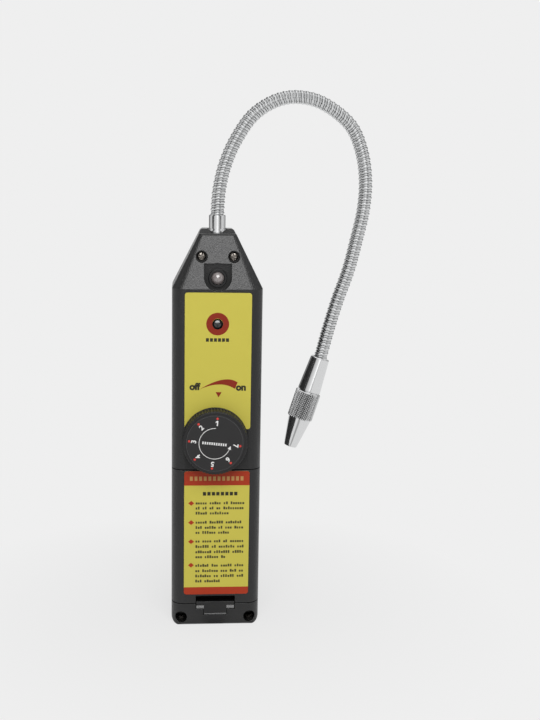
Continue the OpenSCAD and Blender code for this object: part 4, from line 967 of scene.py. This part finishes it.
def surroundLevel(tree, way, steps):
    parts = addNode(tree, "ShaderNodeSeparateXYZ", {"Vector": way})
    azimuth = calc(tree, "ARCTAN2", parts.outputs["X"], calc(tree, "MULTIPLY", parts.outputs["Y"], -1.0))
    ramp = addNode(tree, "ShaderNodeValToRGB", {"Fac": remap(tree, azimuth, -math.pi, math.pi, 0.0, 1.0)})
    band = ramp.color_ramp
    for (angle, level), stop in zip((steps[0], steps[-1]), (band.elements[0], band.elements[1])):
        stop.position, stop.color = 0.5 + angle / 360, grey(level)
    for angle, level in steps[1:-1]:
        band.elements.new(0.5 + angle / 360).color = grey(level)
    return azimuth, ramp.outputs["Color"]


def makeFloor(look):
    half = look["floorHalf"]
    mesh = bpy.data.meshes.new("floor")
    mesh.from_pydata([(-half, -half, 0), (half, -half, 0), (half, half, 0), (-half, half, 0)], [], [(0, 1, 2, 3)])
    floor = addObject("floor", mesh)
    material = bpy.data.materials.new("paleFloor")
    material.use_nodes = True
    tree = material.node_tree
    tree.nodes.clear()
    matte = addNode(tree, "ShaderNodeBsdfDiffuse", {"Color": grey(look["floorAlbedo"])})
    # near the foot the lit floor shows, with its shadow; further out it is plain paper
    place = addNode(tree, "ShaderNodeTexCoord").outputs["Object"]
    reach = addNode(tree, "ShaderNodeVectorMath", operation="LENGTH")
    feed(tree, reach.inputs[0], place)
    paperShare = remap(tree, reach.outputs["Value"], *look["shadowReach"], look["shadowPaper"], 1.0)
    path = addNode(tree, "ShaderNodeLightPath")
    # in reflections the near floor is dim straight ahead and pale at the sides
    slant, level = surroundLevel(tree, place, look["levels"])
    aside = remap(tree, calc(tree, "ABSOLUTE", slant), *look["frontAngle"], 0.0, 1.0)
    near = mixColor(tree, aside, grey(look["frontShine"]), grey(look["sideShine"]))
    # and the far floor goes on as the surround
    far = remap(tree, reach.outputs["Value"], *look["farReach"], 0.0, 1.0)
    shine = mixColor(tree, far, near, level)
    color = mixColor(tree, path.outputs["Is Glossy Ray"], grey(look["paper"]), shine)
    glow = addNode(tree, "ShaderNodeEmission", {"Color": color})
    seen = calc(tree, "MAXIMUM", path.outputs["Is Camera Ray"], path.outputs["Is Glossy Ray"])
    seen = calc(tree, "MAXIMUM", seen, path.outputs["Is Transmission Ray"])
    blend = addNode(tree, "ShaderNodeMixShader", {"Fac": calc(tree, "MULTIPLY", seen, paperShare)})
    feed(tree, blend.inputs[1], matte.outputs["BSDF"])
    feed(tree, blend.inputs[2], glow.outputs["Emission"])
    addNode(tree, "ShaderNodeOutputMaterial", {"Surface": blend.outputs["Shader"]})
    mesh.materials.append(material)


def makeSurround(look):
    # plain paper to the camera, an even light on the object, and the levels in reflections
    world = bpy.data.worlds.new("surround")
    scene.world = world
    world.use_nodes = True
    tree = world.node_tree
    tree.nodes.clear()
    way = addNode(tree, "ShaderNodeTexCoord").outputs["Generated"]
    parts = addNode(tree, "ShaderNodeSeparateXYZ", {"Vector": way})
    _, level = surroundLevel(tree, way, look["levels"])
    level = mixColor(tree, remap(tree, parts.outputs["Z"], *look["skyFrom"], 0.0, 1.0), level, grey(look["sky"]))
    path = addNode(tree, "ShaderNodeLightPath")
    glossy = mixColor(tree, path.outputs["Is Glossy Ray"], grey(look["ambient"]), level)
    straight = calc(tree, "MAXIMUM", path.outputs["Is Camera Ray"], path.outputs["Is Transmission Ray"])
    color = mixColor(tree, straight, glossy, grey(look["paper"]))
    back = addNode(tree, "ShaderNodeBackground", {"Color": color})
    addNode(tree, "ShaderNodeOutputWorld", {"Surface": back.outputs["Background"]})


makeFloor(studio)
makeSurround(studio)
key = addSoftbox("keySoftbox", studio["keyPlace"], studio["keySize"], studio["keyPower"], studio["aim"])
# polished metal shows the pale surround, without the lamp's hard glare
polished = ("woundNeck", "knurledCap", nodes["neck_collar"].name, nodes["tip_sleeve"].name)
spared = (*polished, nodes["buzzer"].name)
lightOnly(key, [piece for piece in scene.objects if piece.type == "MESH" and piece.name not in spared])
# a wider softbox for the shine on the buzzer's nose
nose = addSoftbox("noseSoftbox", studio["nosePlace"], studio["noseSize"], studio["nosePower"], studio["aim"])
lightOnly(nose, [nodes["buzzer"]])

# camera at the photograph's place, for an image of 540 by 720
view = {"place": (-16.561, -522.365, 221.781), "yaw": 4.802, "pitch": 9.697, "roll": 0.997,
        "focalPixels": 1050.0, "longSide": 720.0, "sensor": 36.0, "clip": (0.01, 50.0)}


def addCamera(look):
    data = bpy.data.cameras.new("photoCamera")
    data.sensor_width = look["sensor"]
    data.lens = look["focalPixels"] / look["longSide"] * look["sensor"]
    data.clip_start, data.clip_end = look["clip"]
    camera = addObject("photoCamera", data)
    yaw, pitch, roll = (math.radians(look[k]) for k in ("yaw", "pitch", "roll"))
    ahead = Vector((math.sin(yaw) * math.cos(pitch), math.cos(yaw) * math.cos(pitch), -math.sin(pitch)))
    right = Vector((math.cos(yaw), -math.sin(yaw), 0))
    up = right.cross(ahead)
    right, up = right * math.cos(roll) + up * math.sin(roll), up * math.cos(roll) - right * math.sin(roll)
    turn = Matrix((right, up, -ahead)).transposed().to_4x4()
    camera.matrix_world = Matrix.Translation(Vector(look["place"]) * mm) @ turn
    scene.camera = camera


addCamera(view)
print("studio and camera set")
